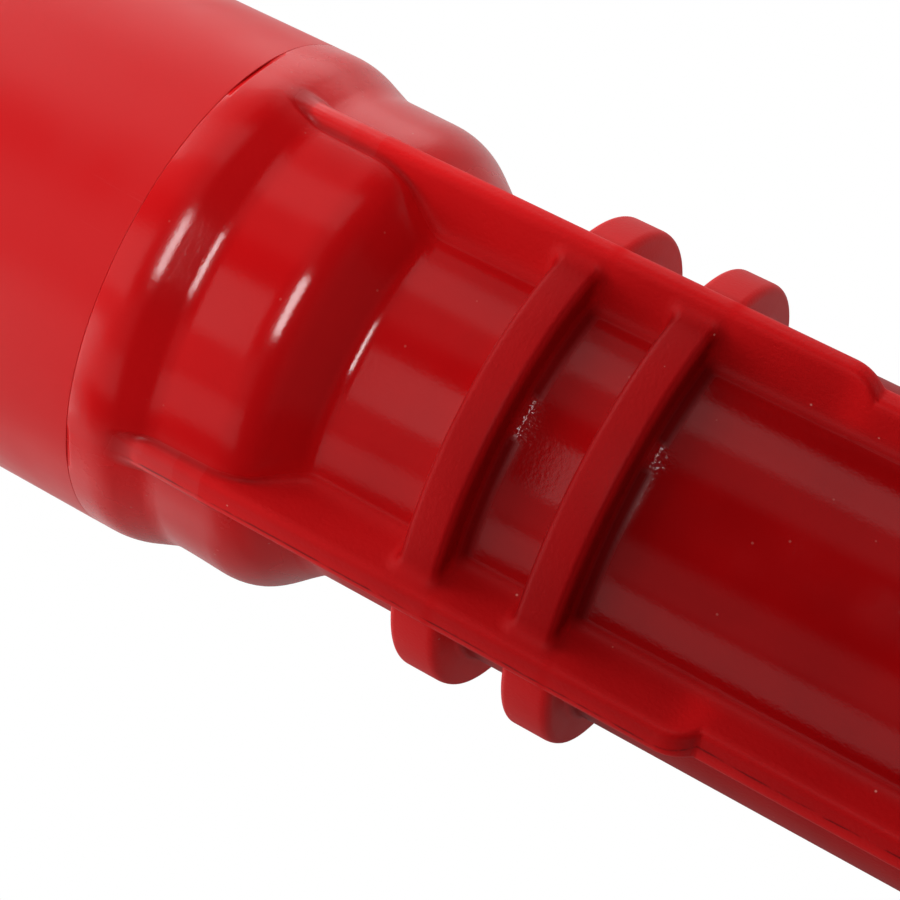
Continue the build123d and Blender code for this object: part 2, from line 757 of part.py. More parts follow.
def clamp_half(side: int, height: float, away: int) -> Part:
    """Make one half of a clamp: half a band, two ears with bolt holes and the socket of one handle arm."""
    with BuildPart() as made:
        with BuildSketch(Plane.XY.offset(height - clamp_height / 2)):
            Circle(band_radius)
            with Locations((side * (clamp_gap / 2 + ear_thickness / 2), 0)):
                Rectangle(ear_thickness, 2 * ear_tip)
        extrude(amount=clamp_height)
        with BuildSketch(facing_x(side, barrel_radius, height)):
            Circle(socket_radius)
        extrude(amount=socket_tip - barrel_radius)
        fillet(made.faces().sort_by(Axis.X)[-1 if side > 0 else 0].edges(), clamp_edge_round)
        with BuildSketch(Plane.XY.offset(height - socket_radius)):
            Circle(clamp_bore)
            with Locations((side * (clamp_gap / 2 - ear_tip / 2), 0)):
                Rectangle(ear_tip, 2 * ear_tip + clamp_gap)
        extrude(amount=2 * socket_radius, mode=Mode.SUBTRACT)
        with BuildSketch(facing_x(side, socket_tip, height)):
            Circle(socket_bore)
        extrude(amount=-handle_tenon - seat_clearance, mode=Mode.SUBTRACT)
        with BuildSketch(facing_x(side, ear_face, height)):
            with Locations((-clamp_bolt_offset, 0), (clamp_bolt_offset, 0)):
                Circle(clamp_bolt_radius + clamp_bolt_clearance)
        extrude(amount=-ear_thickness, mode=Mode.SUBTRACT)
        with BuildSketch(lock_screw_plane(side, height, away)):
            Circle(lock_screw_radius + seat_clearance)
        extrude(amount=socket_radius * 2, mode=Mode.SUBTRACT)
    return made.part


def clamp_bolt_pair(height: float) -> Part:
    """Make the two hexagon bolts that draw a clamp's halves together."""
    shank = 2 * ear_face + clamp_nut_height + clamp_bolt_tail
    with BuildPart() as made:
        with BuildSketch(facing_x(1, ear_face, height)):
            with Locations((-clamp_bolt_offset, 0), (clamp_bolt_offset, 0)):
                RegularPolygon(clamp_bolt_flats / 2, 6, major_radius=False)
        extrude(amount=clamp_bolt_head)
        with BuildSketch(facing_x(1, ear_face, height)):
            with Locations((-clamp_bolt_offset, 0), (clamp_bolt_offset, 0)):
                Circle(clamp_bolt_radius)
        extrude(amount=-shank)
    return made.part


def clamp_nut_pair(height: float) -> Part:
    """Make the two nuts on a clamp's bolts."""
    with BuildPart() as made:
        with BuildSketch(facing_x(-1, ear_face, height)):
            with Locations((-clamp_bolt_offset, 0), (clamp_bolt_offset, 0)):
                RegularPolygon(clamp_bolt_flats / 2, 6, major_radius=False)
                Circle(clamp_bolt_radius + seat_clearance, mode=Mode.SUBTRACT)
        extrude(amount=clamp_nut_height)
    return made.part


SIDES = {"left": -1, "right": 1}
CLAMPS = {"lower": (lower_clamp_height, -1), "upper": (upper_clamp_height, 1)}

for clamp_name, (height, away) in CLAMPS.items():
    for side_name, side in SIDES.items():
        finish(clamp_half(side, height, away), f"{clamp_name}_clamp_{side_name}")
    finish(clamp_bolt_pair(height), f"{clamp_name}_clamp_bolts")
    finish(clamp_nut_pair(height), f"{clamp_name}_clamp_nuts")


def handle(side: int) -> Part:
    """Make one bail handle: a bent tube from the lower clamp's socket to the upper one's."""
    with BuildPart() as made:
        with BuildLine() as route:
            FilletPolyline(
                (side * handle_end, 0, lower_clamp_height),
                (side * handle_reach, 0, lower_clamp_height),
                (side * handle_reach, 0, upper_clamp_height),
                (side * handle_end, 0, upper_clamp_height),
                radius=handle_bend,
            )
        with BuildSketch(facing_x(side, handle_end, lower_clamp_height)):
            Circle(handle_radius)
            Circle(handle_radius - handle_wall, mode=Mode.SUBTRACT)
        sweep(path=route.line)
        for height, away in CLAMPS.values():
            with BuildSketch(lock_screw_plane(side, height, away)):
                Circle(lock_screw_radius + seat_clearance)
            extrude(amount=socket_radius, mode=Mode.SUBTRACT)
    return made.part


def grip(side: int) -> Part:
    """Make one grip: a rubber sleeve with shallow grooves, on the handle's upright."""
    with BuildPart() as made:
        with BuildSketch(Plane(origin=(side * handle_reach, 0, grip_height - grip_length / 2))):
            Circle(grip_radius)
        extrude(amount=grip_length)
        fillet(made.edges().filter_by(GeomType.CIRCLE), grip_end_round)
        for index in range(grip_groove_count):
            drop = (index - (grip_groove_count - 1) / 2) * grip_groove_pitch
            with Locations((side * handle_reach, 0, grip_height + drop)):
                Torus(grip_radius + grip_groove_radius / 2, grip_groove_radius, mode=Mode.SUBTRACT)
        with BuildSketch(Plane(origin=(side * handle_reach, 0, grip_height - grip_length / 2))):
            Circle(grip_bore)
        extrude(amount=grip_length, mode=Mode.SUBTRACT)
    return made.part


for side_name, side in SIDES.items():
    finish(handle(side), f"handle_{side_name}")
    finish(grip(side), f"grip_{side_name}")

lock_screw_start = handle_radius - handle_wall

with BuildPart() as handle_lock_screws:
    for height, away in CLAMPS.values():
        for side in SIDES.values():
            with BuildSketch(lock_screw_plane(side, height, away).offset(lock_screw_start)):
                Circle(lock_screw_radius)
            extrude(amount=socket_radius - lock_screw_start)
            with BuildSketch(lock_screw_plane(side, height, away).offset(socket_radius)):
                Circle(lock_screw_head_radius)
            extrude(amount=lock_screw_head_height)
            with BuildSketch(lock_screw_plane(side, height, away).offset(socket_radius + lock_screw_head_height)):
                RegularPolygon(lock_screw_socket_width / 2, 6)
            extrude(amount=-lock_screw_socket_depth, mode=Mode.SUBTRACT)
finish(handle_lock_screws.part, "handle_lock_screws")

print(f"{len(MADE)} pieces, hammer travel {lift_travel:.2f} mm, cap top {cap_top:.2f} mm")
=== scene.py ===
"""Visual model of a slide-hammer post driver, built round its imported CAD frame.

Lengths are in metres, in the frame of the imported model: +Z runs up the tool's axis and the origin lies in the
plane of the mouth. Azimuths are in degrees from the front, -Y, towards +X.
"""

import json
import logging
import math
from dataclasses import dataclass, field
from enum import Enum
from typing import Iterable

import bmesh
import bpy
import numpy as np
from mathutils import Matrix, Vector, noise


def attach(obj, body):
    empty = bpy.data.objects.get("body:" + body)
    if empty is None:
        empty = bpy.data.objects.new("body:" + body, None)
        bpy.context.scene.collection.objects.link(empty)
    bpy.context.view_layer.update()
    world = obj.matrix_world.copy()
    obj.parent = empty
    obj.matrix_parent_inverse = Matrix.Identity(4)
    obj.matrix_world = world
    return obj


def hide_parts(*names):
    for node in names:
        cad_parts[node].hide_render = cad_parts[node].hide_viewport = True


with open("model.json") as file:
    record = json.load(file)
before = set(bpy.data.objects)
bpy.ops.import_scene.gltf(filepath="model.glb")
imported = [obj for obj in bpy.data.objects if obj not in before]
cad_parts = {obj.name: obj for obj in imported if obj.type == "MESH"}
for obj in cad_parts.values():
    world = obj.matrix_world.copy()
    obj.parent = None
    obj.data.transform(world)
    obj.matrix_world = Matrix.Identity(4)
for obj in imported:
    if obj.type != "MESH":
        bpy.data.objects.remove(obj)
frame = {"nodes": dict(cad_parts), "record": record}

LOG = logging.getLogger("post_driver")
MM = 0.001
DOUBLES = 0.002 * MM  # vertices closer together than this are one
LEVEL = 0.001 * MM  # heights closer together than this are the same
LARGE_FACES_FIRST = 80  # the weight of the weighted normals, of which 50 is even
CREASE = 38.0  # degrees from which an edge stays sharp
MOST_NOISE = (0.3, 0.7)  # where most values of a noise lie
PLASTIC_IOR = 1.46
COAT_IOR = 1.5
Colour = tuple[float, float, float]
Outline = list[tuple[float, float]]  # points as radius and height
Socket = bpy.types.NodeSocket


# ---------------------------------------------------------------------------------------------------------
# Materials
# ---------------------------------------------------------------------------------------------------------


class Nodes:
    """A node tree that is put together with short calls."""

    def __init__(self, tree: bpy.types.NodeTree) -> None:
        """Take over a tree."""
        self.tree = tree

    def node(self, kind: str, **settings: object) -> bpy.types.Node:
        """Add a node and set its properties.

        Args:
            kind: The node's Blender type.
            **settings: Property names and their values.

        Returns:
            The new node.
        """
        made = self.tree.nodes.new(kind)
        for key, value in settings.items():
            setattr(made, key, value)
        return made

    def feed(self, socket: Socket, value: object) -> None:
        """Set a socket to a number or link another socket to it.

        Args:
            socket: The input to feed.
            value: A number, a colour or an output socket.
        """
        if isinstance(value, Socket):
            self.tree.links.new(value, socket)
        else:
            socket.default_value = value

    def math(self, operation: str, first: object, second: object = 0.5, clamp: bool = False) -> Socket:
        """Combine two numbers.

        Args:
            operation: The Math node's operation.
            first: A number or a socket.
            second: A number or a socket.
            clamp: Whether the result stays between 0 and 1.

        Returns:
            The result's socket.
        """
        made = self.node("ShaderNodeMath", operation=operation, use_clamp=clamp)
        self.feed(made.inputs[0], first)
        self.feed(made.inputs[1], second)
        return made.outputs[0]

    def spread(self, value: Socket, low: float, high: float, start: float = 0.0, end: float = 1.0) -> Socket:
        """Map a number smoothly from one range to another.

        Args:
            value: The number's socket.
            low: Where the range starts.
            high: Where the range ends.
            start: The result at the low end.
            end: The result at the high end.

        Returns:
            The result's socket.
        """
        made = self.node("ShaderNodeMapRange", interpolation_type="SMOOTHSTEP")
        self.feed(made.inputs["Value"], value)
        for key, number in (("From Min", low), ("From Max", high), ("To Min", start), ("To Max", end)):
            made.inputs[key].default_value = number
        return made.outputs["Result"]


class Shade(Nodes):
    """A material's nodes."""

    mix_inputs = (6, 7)  # where a Mix node takes its two colours
    mix_output = 2

    def __init__(self, name: str) -> None:
        """Start a material with only its output and its main shader.

        Args:
            name: The material's name.
        """
        self.material = bpy.data.materials.new(name)
        self.material.use_nodes = True
        super().__init__(self.material.node_tree)
        self.shader = self.tree.nodes["Principled BSDF"]
        self.place = self.node("ShaderNodeTexCoord").outputs["Object"]

    def set(self, **values: object) -> None:
        """Feed the main shader's inputs, with underscores for the spaces in their names."""
        for key, value in values.items():
            self.feed(self.shader.inputs[key.replace("_", " ")], value)

    def mix(self, factor: object, first: object, second: object) -> Socket:
        """Blend two colours.

        Args:
            factor: How much of the second colour there is.
            first: A colour or a socket.
            second: A colour or a socket.

        Returns:
            The blend's socket.
        """
        made = self.node("ShaderNodeMix", data_type="RGBA")
        self.feed(made.inputs[0], factor)
        for index, value in zip(self.mix_inputs, (first, second)):
            self.feed(made.inputs[index], value if isinstance(value, Socket) else (*value, 1.0))
        return made.outputs[self.mix_output]

    def stretch(self, scale: tuple[float, float, float]) -> Socket:
        """Scale the object's coordinates by different amounts along its axes.

        Args:
            scale: The factor along each axis.

        Returns:
            The scaled coordinates' socket.
        """
        made = self.node("ShaderNodeMapping")
        self.feed(made.inputs["Vector"], self.place)
        made.inputs["Scale"].default_value = scale
        return made.outputs["Vector"]

    def noise(self, scale: float, detail: float, place: Socket | None = None, rough: float = 0.5) -> Socket:
        """Add a noise pattern.

        Args:
            scale: How fine the noise is, in cells per metre.
            detail: How many octaves it has.
            place: Coordinates, or None for the object's own.
            rough: How much the finer octaves weigh.

        Returns:
            The noise value's socket.
        """
        made = self.node("ShaderNodeTexNoise")
        self.feed(made.inputs["Vector"], place if place is not None else self.place)
        for key, number in (("Scale", scale), ("Detail", detail), ("Roughness", rough)):
            made.inputs[key].default_value = number
        return made.outputs["Fac"]

    def specks(self, scale: float, size: float, share: float, core: float = 0.55) -> Socket:
        """Scatter small round specks.

        Args:
            scale: Cells per metre.
            size: A speck's radius, as a share of its cell.
            share: The share of cells that hold one.
            core: The share of a speck's radius inside its soft edge.

        Returns:
            A socket that is 1 inside a speck and 0 elsewhere.
        """
        cells = self.node("ShaderNodeTexVoronoi", feature="F1")
        self.feed(cells.inputs["Vector"], self.place)
        cells.inputs["Scale"].default_value = scale
        inside = self.spread(cells.outputs["Distance"], size, size * core)
        split = self.node("ShaderNodeSeparateColor")
        self.feed(split.inputs["Color"], cells.outputs["Color"])
        chosen = self.math("LESS_THAN", split.outputs["Red"], share)
        return self.math("MULTIPLY", inside, chosen)

    def attribute(self, name: str) -> Socket:
        """Read a number that the piece's own mesh carries.

        Args:
            name: The attribute's name.

        Returns:
            The number's socket.
        """
        return self.node("ShaderNodeAttribute", attribute_name=name).outputs["Fac"]

    def bump(self, height: object, depth: float, strength: float = 1.0, under: object = None) -> Socket:
        """Turn a height into a bump.

        Args:
            height: The height's socket, from 0 to 1.
            depth: The height in metres that 1 stands for.
            strength: How much of the bump is used.
            under: Another bump's socket to add to.

        Returns:
            The bump's normal socket.
        """
        made = self.node("ShaderNodeBump")
        self.feed(made.inputs["Height"], height)
        made.inputs["Distance"].default_value = depth
        self.feed(made.inputs["Strength"], strength)
        if under is not None:
            self.feed(made.inputs["Normal"], under)
        return made.outputs["Normal"]


@dataclass(frozen=True)
class MouldedRed:
    """The neck's red plastic, either polished or with the fine grain of the fins and the hoops.

    Here and in the other finishes, scales are in cells per metre and depths are those of a bump.
    """

    name: str
    specular: float
    grain: float
    dust: float
    deep: Colour = (0.165, 0.0006, 0.0012)
    bright: Colour = (0.80, 0.0070, 0.0090)
    speck: Colour = (0.75, 0.30, 0.25)
    notch: Colour = (0.13, 0.002, 0.003)
    cloud_scale: float = 70
    cloud_tone: float = 0.035
    dust_scale: float = 420
    dust_size: float = 0.09
    dust_share: float = 0.18
    notch_scale: float = 1100
    notch_stretch: tuple[float, float, float] = (1, 1, 0.3)
    notch_range: tuple[float, float] = (0.36, 0.62)
    smear_scale: float = 160
    smear_range: tuple[float, float] = (0.35, 0.75)
    smear_roughness: float = 0.03
    grain_scale: float = 1900
    grain_depth: float = 0.10 * MM
    pit_scale: float = 1500
    pit_size: float = 0.22
    pit_share: float = 0.10
    pit_depth: float = 0.10 * MM
    ripple_scale: float = 2200
    ripple_stretch: tuple[float, float, float] = (1, 1, 0.55)
    ripple_depth: float = 0.20 * MM
    wave_scale: float = 45
    wave_depth: float = 0.25 * MM
    wave_strength: float = 0.12

    def build(self) -> bpy.types.Material:
        """Make the material. It reads the attributes tone, rough, flash and ripple of the neck's mesh; the tone
        carries painted light and shade.

        Returns:
            The material.
        """
        shade = Shade(self.name)
        cloud = shade.noise(self.cloud_scale, 3)
        cloud = shade.spread(cloud, *MOST_NOISE, -self.cloud_tone, self.cloud_tone)
        tone = shade.math("ADD", shade.attribute("tone"), cloud, clamp=True)
        body = shade.mix(tone, self.deep, self.bright)
        dusty = shade.specks(self.dust_scale, self.dust_size, self.dust_share)
        body = shade.mix(shade.math("MULTIPLY", dusty, self.dust), body, self.speck)
        notch = shade.noise(self.notch_scale, 3, shade.stretch(self.notch_stretch))
        notch = shade.spread(notch, *self.notch_range)
        body = shade.mix(shade.math("MULTIPLY", shade.attribute("flash"), notch), body, self.notch)
        smear = shade.noise(self.smear_scale, 4)
        smear = shade.spread(smear, *self.smear_range, 0.0, self.smear_roughness)
        shade.set(Base_Color=body, Roughness=shade.math("ADD", smear, shade.attribute("rough")))
        shade.set(IOR=PLASTIC_IOR, Specular_IOR_Level=self.specular)
        relief = shade.bump(shade.noise(self.grain_scale, 2), self.grain_depth, self.grain)
        pits = shade.specks(self.pit_scale, self.pit_size, self.pit_share)
        relief = shade.bump(pits, -self.pit_depth, self.dust * self.grain, relief)
        ripples = shade.noise(self.ripple_scale, 2, shade.stretch(self.ripple_stretch))
        relief = shade.bump(ripples, self.ripple_depth, shade.attribute("ripple"), relief)
        wave = shade.noise(self.wave_scale, 1)
        shade.set(Normal=shade.bump(wave, self.wave_depth, self.wave_strength, relief))
        return shade.material


@dataclass(frozen=True)
class BarrelRed:
    """The barrel's satin red plastic, with faint scratches along it."""

    body: Colour = (0.71, 0.0080, 0.0100)
    worn: Colour = (0.75, 0.014, 0.016)
    scratched: Colour = (0.80, 0.10, 0.10)
    roughness: float = 0.34
    specular: float = 0.20
    cloud_scale: float = 28
    cloud_range: tuple[float, float] = (0.35, 0.7)
    cloud_share: float = 0.35
    scratch_scale: float = 300
    scratch_stretch: tuple[float, float, float] = (1, 1, 0.06)
    scratch_range: tuple[float, float] = (0.66, 0.72)
    scratch_share: float = 0.12
    scratch_depth: float = 0.01 * MM
    smear_scale: float = 90
    smears: tuple[float, float] = (-0.03, 0.04)
    peel_scale: float = 500
    peel_depth: float = 0.02 * MM
    relief: float = 0.5

    def build(self) -> bpy.types.Material:
        """Make the material.

        Returns:
            The material.
        """
        shade = Shade("satin red barrel")
        cloud = shade.spread(shade.noise(self.cloud_scale, 4), *self.cloud_range)
        lines = shade.noise(self.scratch_scale, 5, shade.stretch(self.scratch_stretch), rough=0.7)
        scratch = shade.spread(lines, *self.scratch_range)
        tint = shade.mix(shade.math("MULTIPLY", cloud, self.cloud_share), self.body, self.worn)
        tint = shade.mix(shade.math("MULTIPLY", scratch, self.scratch_share), tint, self.scratched)
        smear = shade.spread(shade.noise(self.smear_scale, 3), *MOST_NOISE, *self.smears)
        rough = shade.math("ADD", self.roughness, smear)
        shade.set(Base_Color=tint, Roughness=rough, IOR=PLASTIC_IOR, Specular_IOR_Level=self.specular)
        orange_peel = shade.bump(shade.noise(self.peel_scale, 2), self.peel_depth, self.relief)
        shade.set(Normal=shade.bump(scratch, -self.scratch_depth, self.relief, orange_peel))
        return shade.material


@dataclass(frozen=True)
class Metal:
    """A steel or bronze finish with fine brushed or cast relief, stains and brighter wear."""

    name: str
    body: Colour
    stain: Colour
    roughness: float
    metallic: float = 1.0
    brush: tuple[float, float, float] = (1.0, 1.0, 1.0)
    grain: float = 900.0
    grain_depth: float = 0.02 * MM
    grain_roughness: tuple[float, float] = (-0.06, 0.09)
    relief: float = 0.6
    stain_scale: float = 60
    stain_range: tuple[float, float] = (0.42, 0.72)
    stain_share: float = 0.6

    def build(self) -> bpy.types.Material:
        """Make the material.

        Returns:
            The material.
        """
        shade = Shade(self.name)
        lines = shade.noise(self.grain, 4, shade.stretch(self.brush), rough=0.6)
        patch = shade.spread(shade.noise(self.stain_scale, 5), *self.stain_range)
        patch = shade.math("MULTIPLY", patch, self.stain_share)
        shade.set(Base_Color=shade.mix(patch, self.body, self.stain), Metallic=self.metallic)
        varied = shade.spread(lines, *MOST_NOISE, *self.grain_roughness)
        shade.set(Roughness=shade.math("ADD", self.roughness, varied))
        shade.set(Normal=shade.bump(lines, self.grain_depth, self.relief))
        return shade.material


@dataclass(frozen=True)
class PowderCoat:
    """Powder-coated steel tube with an orange-peel skin."""

    body: Colour = (0.56, 0.012, 0.014)
    edge: Colour = (0.49, 0.009, 0.011)
    cloud_scale: float = 40
    cloud_range: tuple[float, float] = (0.35, 0.7)
    smear_scale: float = 140
    roughness: tuple[float, float] = (0.24, 0.34)
    peel_scale: float = 750
    peel_depth: float = 0.05 * MM
    relief: float = 0.6

    def build(self) -> bpy.types.Material:
        """Make the material.

        Returns:
            The material.
        """
        shade = Shade("red powder coat")
        cloud = shade.spread(shade.noise(self.cloud_scale, 4), *self.cloud_range)
        shade.set(Base_Color=shade.mix(cloud, self.body, self.edge), IOR=COAT_IOR)
        smear = shade.noise(self.smear_scale, 3)
        shade.set(Roughness=shade.spread(smear, *MOST_NOISE, *self.roughness))
        shade.set(Normal=shade.bump(shade.noise(self.peel_scale, 2), self.peel_depth, self.relief))
        return shade.material


@dataclass(frozen=True)
class Rubber:
    """Rubber or dull black plastic with dust in its grain."""

    name: str = "black rubber"
    body: Colour = (0.018, 0.018, 0.019)
    dust: Colour = (0.075, 0.070, 0.065)
    roughness: float = 0.62
    grain: float = 1400.0
    grain_depth: float = 0.06 * MM
    grain_roughness: tuple[float, float] = (-0.05, 0.08)
    relief: float = 0.7
    dust_scale: float = 50
    dust_range: tuple[float, float] = (0.45, 0.75)
    dust_share: float = 0.55

    def build(self) -> bpy.types.Material:
        """Make the material.

        Returns:
            The material.
        """
        shade = Shade(self.name)
        grain = shade.noise(self.grain, 3)
        film = shade.spread(shade.noise(self.dust_scale, 5), *self.dust_range)
        shade.set(Base_Color=shade.mix(shade.math("MULTIPLY", film, self.dust_share), self.body, self.dust))
        varied = shade.spread(grain, *MOST_NOISE, *self.grain_roughness)
        shade.set(Roughness=shade.math("ADD", self.roughness, varied))
        shade.set(Normal=shade.bump(grain, self.grain_depth, self.relief))
        return shade.material


class Slot(Enum):
    """The record's material slots, with the finish of each."""

    RED_MOULDING = "red_moulding"
    RED_BARREL = "red_barrel"
    ZINC_STEEL = "zinc_steel"
    FORGED_STEEL = "forged_steel"
    FASTENER_STEEL = "fastener_steel"
    BRONZE = "bronze"
    URETHANE = "urethane"
    BLACK_POLYMER = "black_polymer"
    HANDLE_PAINT = "handle_paint"
    GRIP_RUBBER = "grip_rubber"


MATT_GRADES = (
    MouldedRed("silky red moulding", 0.28, 0.25, 0.25),
    MouldedRed("dull red moulding", 0.18, 0.38, 0.40),
    MouldedRed("grained red moulding", 0.08, 0.5, 0.55),
)
FINISHES: dict[Slot, MouldedRed | BarrelRed | Metal | PowderCoat | Rubber] = {
    Slot.RED_MOULDING: MouldedRed("polished red moulding", 0.36, 0.13, 0.15),
    Slot.RED_BARREL: BarrelRed(),
    Slot.ZINC_STEEL: Metal(
        "zinc-plated steel",
        (0.52, 0.53, 0.55),
        (0.38, 0.37, 0.35),
        0.34,
        brush=(1, 1, 0.05),
        grain_depth=0.006 * MM,
    ),
    Slot.FORGED_STEEL: Metal(
        "black oxide steel",
        (0.045, 0.045, 0.050),
        (0.10, 0.085, 0.07),
        0.42,
        metallic=0.85,
        grain_depth=0.08 * MM,
    ),
    Slot.FASTENER_STEEL: Metal("plated fasteners", (0.40, 0.40, 0.41), (0.28, 0.27, 0.24), 0.38),
    Slot.BRONZE: Metal("bearing bronze", (0.62, 0.40, 0.17), (0.36, 0.22, 0.10), 0.32, brush=(1, 1, 0.1)),
    Slot.URETHANE: Rubber("black urethane", (0.020, 0.020, 0.021), (0.06, 0.055, 0.05), 0.5, 1100.0),
    Slot.BLACK_POLYMER: Rubber("black polymer", (0.025, 0.025, 0.027), (0.07, 0.065, 0.06), 0.45, 900.0),
    Slot.HANDLE_PAINT: PowderCoat(),
    Slot.GRIP_RUBBER: Rubber(),
}


# ---------------------------------------------------------------------------------------------------------
# Mesh helpers
# ---------------------------------------------------------------------------------------------------------


def ramp(value: np.ndarray, start: object, length: float) -> np.ndarray:
    """Rise from 0 to 1 over a length from a start, or fall to 0 at the start where the length is negative."""
    return np.clip((value - start) / length, 0, 1)


def bell(value: np.ndarray, centre: float, width: object) -> np.ndarray:
    """Rise to 1 at a centre and fall away on both sides."""
    return np.exp(-(((value - centre) / width) ** 2))


def read(items: bpy.types.bpy_prop_collection, name: str, width: int = 1, kind: type = float) -> np.ndarray:
    """Read one property of many items at once.

    Args:
        items: The items.
        name: The property's name.
        width: How many numbers it has.
        kind: Their type.

    Returns:
        The numbers, one row an item where there are more than one.
    """
    values = np.empty(len(items) * width, dtype=kind)
    items.foreach_get(name, values)
    return values.reshape(-1, width) if width > 1 else values


@dataclass(frozen=True)
class Corner:
    """A corner of an outline in the plane of the axis."""

    radius: float
    height: float
    round: float = 0.0


def rounded_outline(corners: Iterable[Corner], steps: int) -> Outline:
    """Round the corners of an open outline with arcs.

    Args:
        corners: The corners in order. The first and the last stay sharp.
        steps: How many runs each arc has.

    Returns:
        Points as radius and height.
    """
    corners = list(corners)
    points = [(corners[0].radius, corners[0].height)]
    for before, corner, after in zip(corners, corners[1:], corners[2:]):
        here = Vector((corner.radius, corner.height))
        back = (Vector((before.radius, before.height)) - here).normalized()
        ahead = (Vector((after.radius, after.height)) - here).normalized()
        if corner.round == 0:
            points.append(tuple(here))
            continue
        half = back.angle(ahead) / 2
        centre = here + (back + ahead).normalized() * (corner.round / math.sin(half))
        start = here + back * (corner.round / math.tan(half)) - centre
        end = here + ahead * (corner.round / math.tan(half)) - centre
        turn = start.angle_signed(end)
        for step in range(steps + 1):
            points.append(tuple(centre + Matrix.Rotation(-turn * step / steps, 2) @ start))
    points.append((corners[-1].radius, corners[-1].height))
    return points


def divided(points: Outline, longest: float) -> Outline:
    """Divide the long runs of an outline.

    Args:
        points: The outline's points.
        longest: The longest run that may be left.

    Returns:
        The points with others put between them.
    """
    out = [points[0]]
    for start, end in zip(points, points[1:]):
        parts = max(1, math.ceil(math.dist(start, end) / longest))
        for part in range(1, parts + 1):
            share = part / parts
            out.append(tuple(a + (b - a) * share for a, b in zip(start, end)))
    return out


def turned(
    bm: bmesh.types.BMesh, outline: Outline, steps: int, mark: bmesh.types.BMLayerItem | None = None
) -> None:
    """Spin a closed outline a full turn about the tool's axis.

    Args:
        bm: The mesh to add to.
        outline: Points as radius and height.
        steps: How many steps the turn has.
        mark: A vertex layer that keeps each point's number, or None.
    """
    verts = [bm.verts.new((0.0, -radius, height)) for radius, height in outline]
    if mark is not None:
        for index, vert in enumerate(verts):
            vert[mark] = index
    edges = [bm.edges.new(pair) for pair in zip(verts, verts[1:] + verts[:1])]
    bmesh.ops.spin(
        bm, geom=verts + edges, cent=(0, 0, 0), axis=(0, 0, 1), angle=math.tau, steps=steps, use_merge=True
    )


def finished(
    name: str, bm: bmesh.types.BMesh, material: bpy.types.Material, crease: float = CREASE
) -> bpy.types.Object:
    """Turn a bmesh into an object with its doubles merged, its faces outwards and its creases sharp.

    Args:
        name: The piece's name.
        bm: The mesh, which is freed.
        material: The piece's material.
        crease: The angle in degrees from which an edge stays sharp.

    Returns:
        The new object.
    """
    bmesh.ops.remove_doubles(bm, verts=bm.verts, dist=DOUBLES)
    bmesh.ops.recalc_face_normals(bm, faces=bm.faces)
    for face in bm.faces:
        face.smooth = True
    for edge in bm.edges:
        edge.smooth = not edge.is_manifold or edge.calc_face_angle(0.0) < math.radians(crease)
    mesh = bpy.data.meshes.new(name)
    bm.to_mesh(mesh)
    bm.free()
    mesh.materials.append(material)
    piece = bpy.data.objects.new(name, mesh)
    bpy.context.scene.collection.objects.link(piece)
    return piece


def weigh_normals(piece: bpy.types.Object) -> None:
    """Let a piece's large faces set its shading, so that narrow roundings beside them stay clean.

    Args:
        piece: The piece.
    """
    weigh = piece.modifiers.new("weighted normals", "WEIGHTED_NORMAL")
    weigh.keep_sharp = True
    weigh.weight = LARGE_FACES_FIRST


def sleeve(bore: float, radius: float, bottom: float, top: float, edge: float, steps: int) -> Outline:
    """Draw a tube's wall with rounded outer edges.

    Args:
        bore: The inner radius.
        radius: The outer radius.
        bottom: The lower end's height.
        top: The upper end's height.
        edge: The outer edges' rounding.
        steps: How many runs each rounding has.

    Returns:
        Points as radius and height.
    """
    outer = [Corner(radius, bottom, edge), Corner(radius, top, edge)]
    return rounded_outline([Corner(bore, bottom), *outer, Corner(bore, top)], steps)


def cut_away(piece: bpy.types.Object, cutter: bmesh.types.BMesh) -> None:
    """Cut one mesh out of a piece and keep the result as the piece's mesh.

    Args:
        piece: The piece to cut.
        cutter: The closed mesh to take away, which is freed.
    """
    tool = finished("cutter", cutter, piece.data.materials[0])
    cut = piece.modifiers.new("cut", "BOOLEAN")
    cut.object = tool
    cut.solver = "EXACT"
    ready = piece.evaluated_get(bpy.context.evaluated_depsgraph_get())
    result = bpy.data.meshes.new_from_object(ready)
    piece.modifiers.clear()
    piece.data = result
    bpy.data.objects.remove(tool)


# ---------------------------------------------------------------------------------------------------------
# Neck
# ---------------------------------------------------------------------------------------------------------


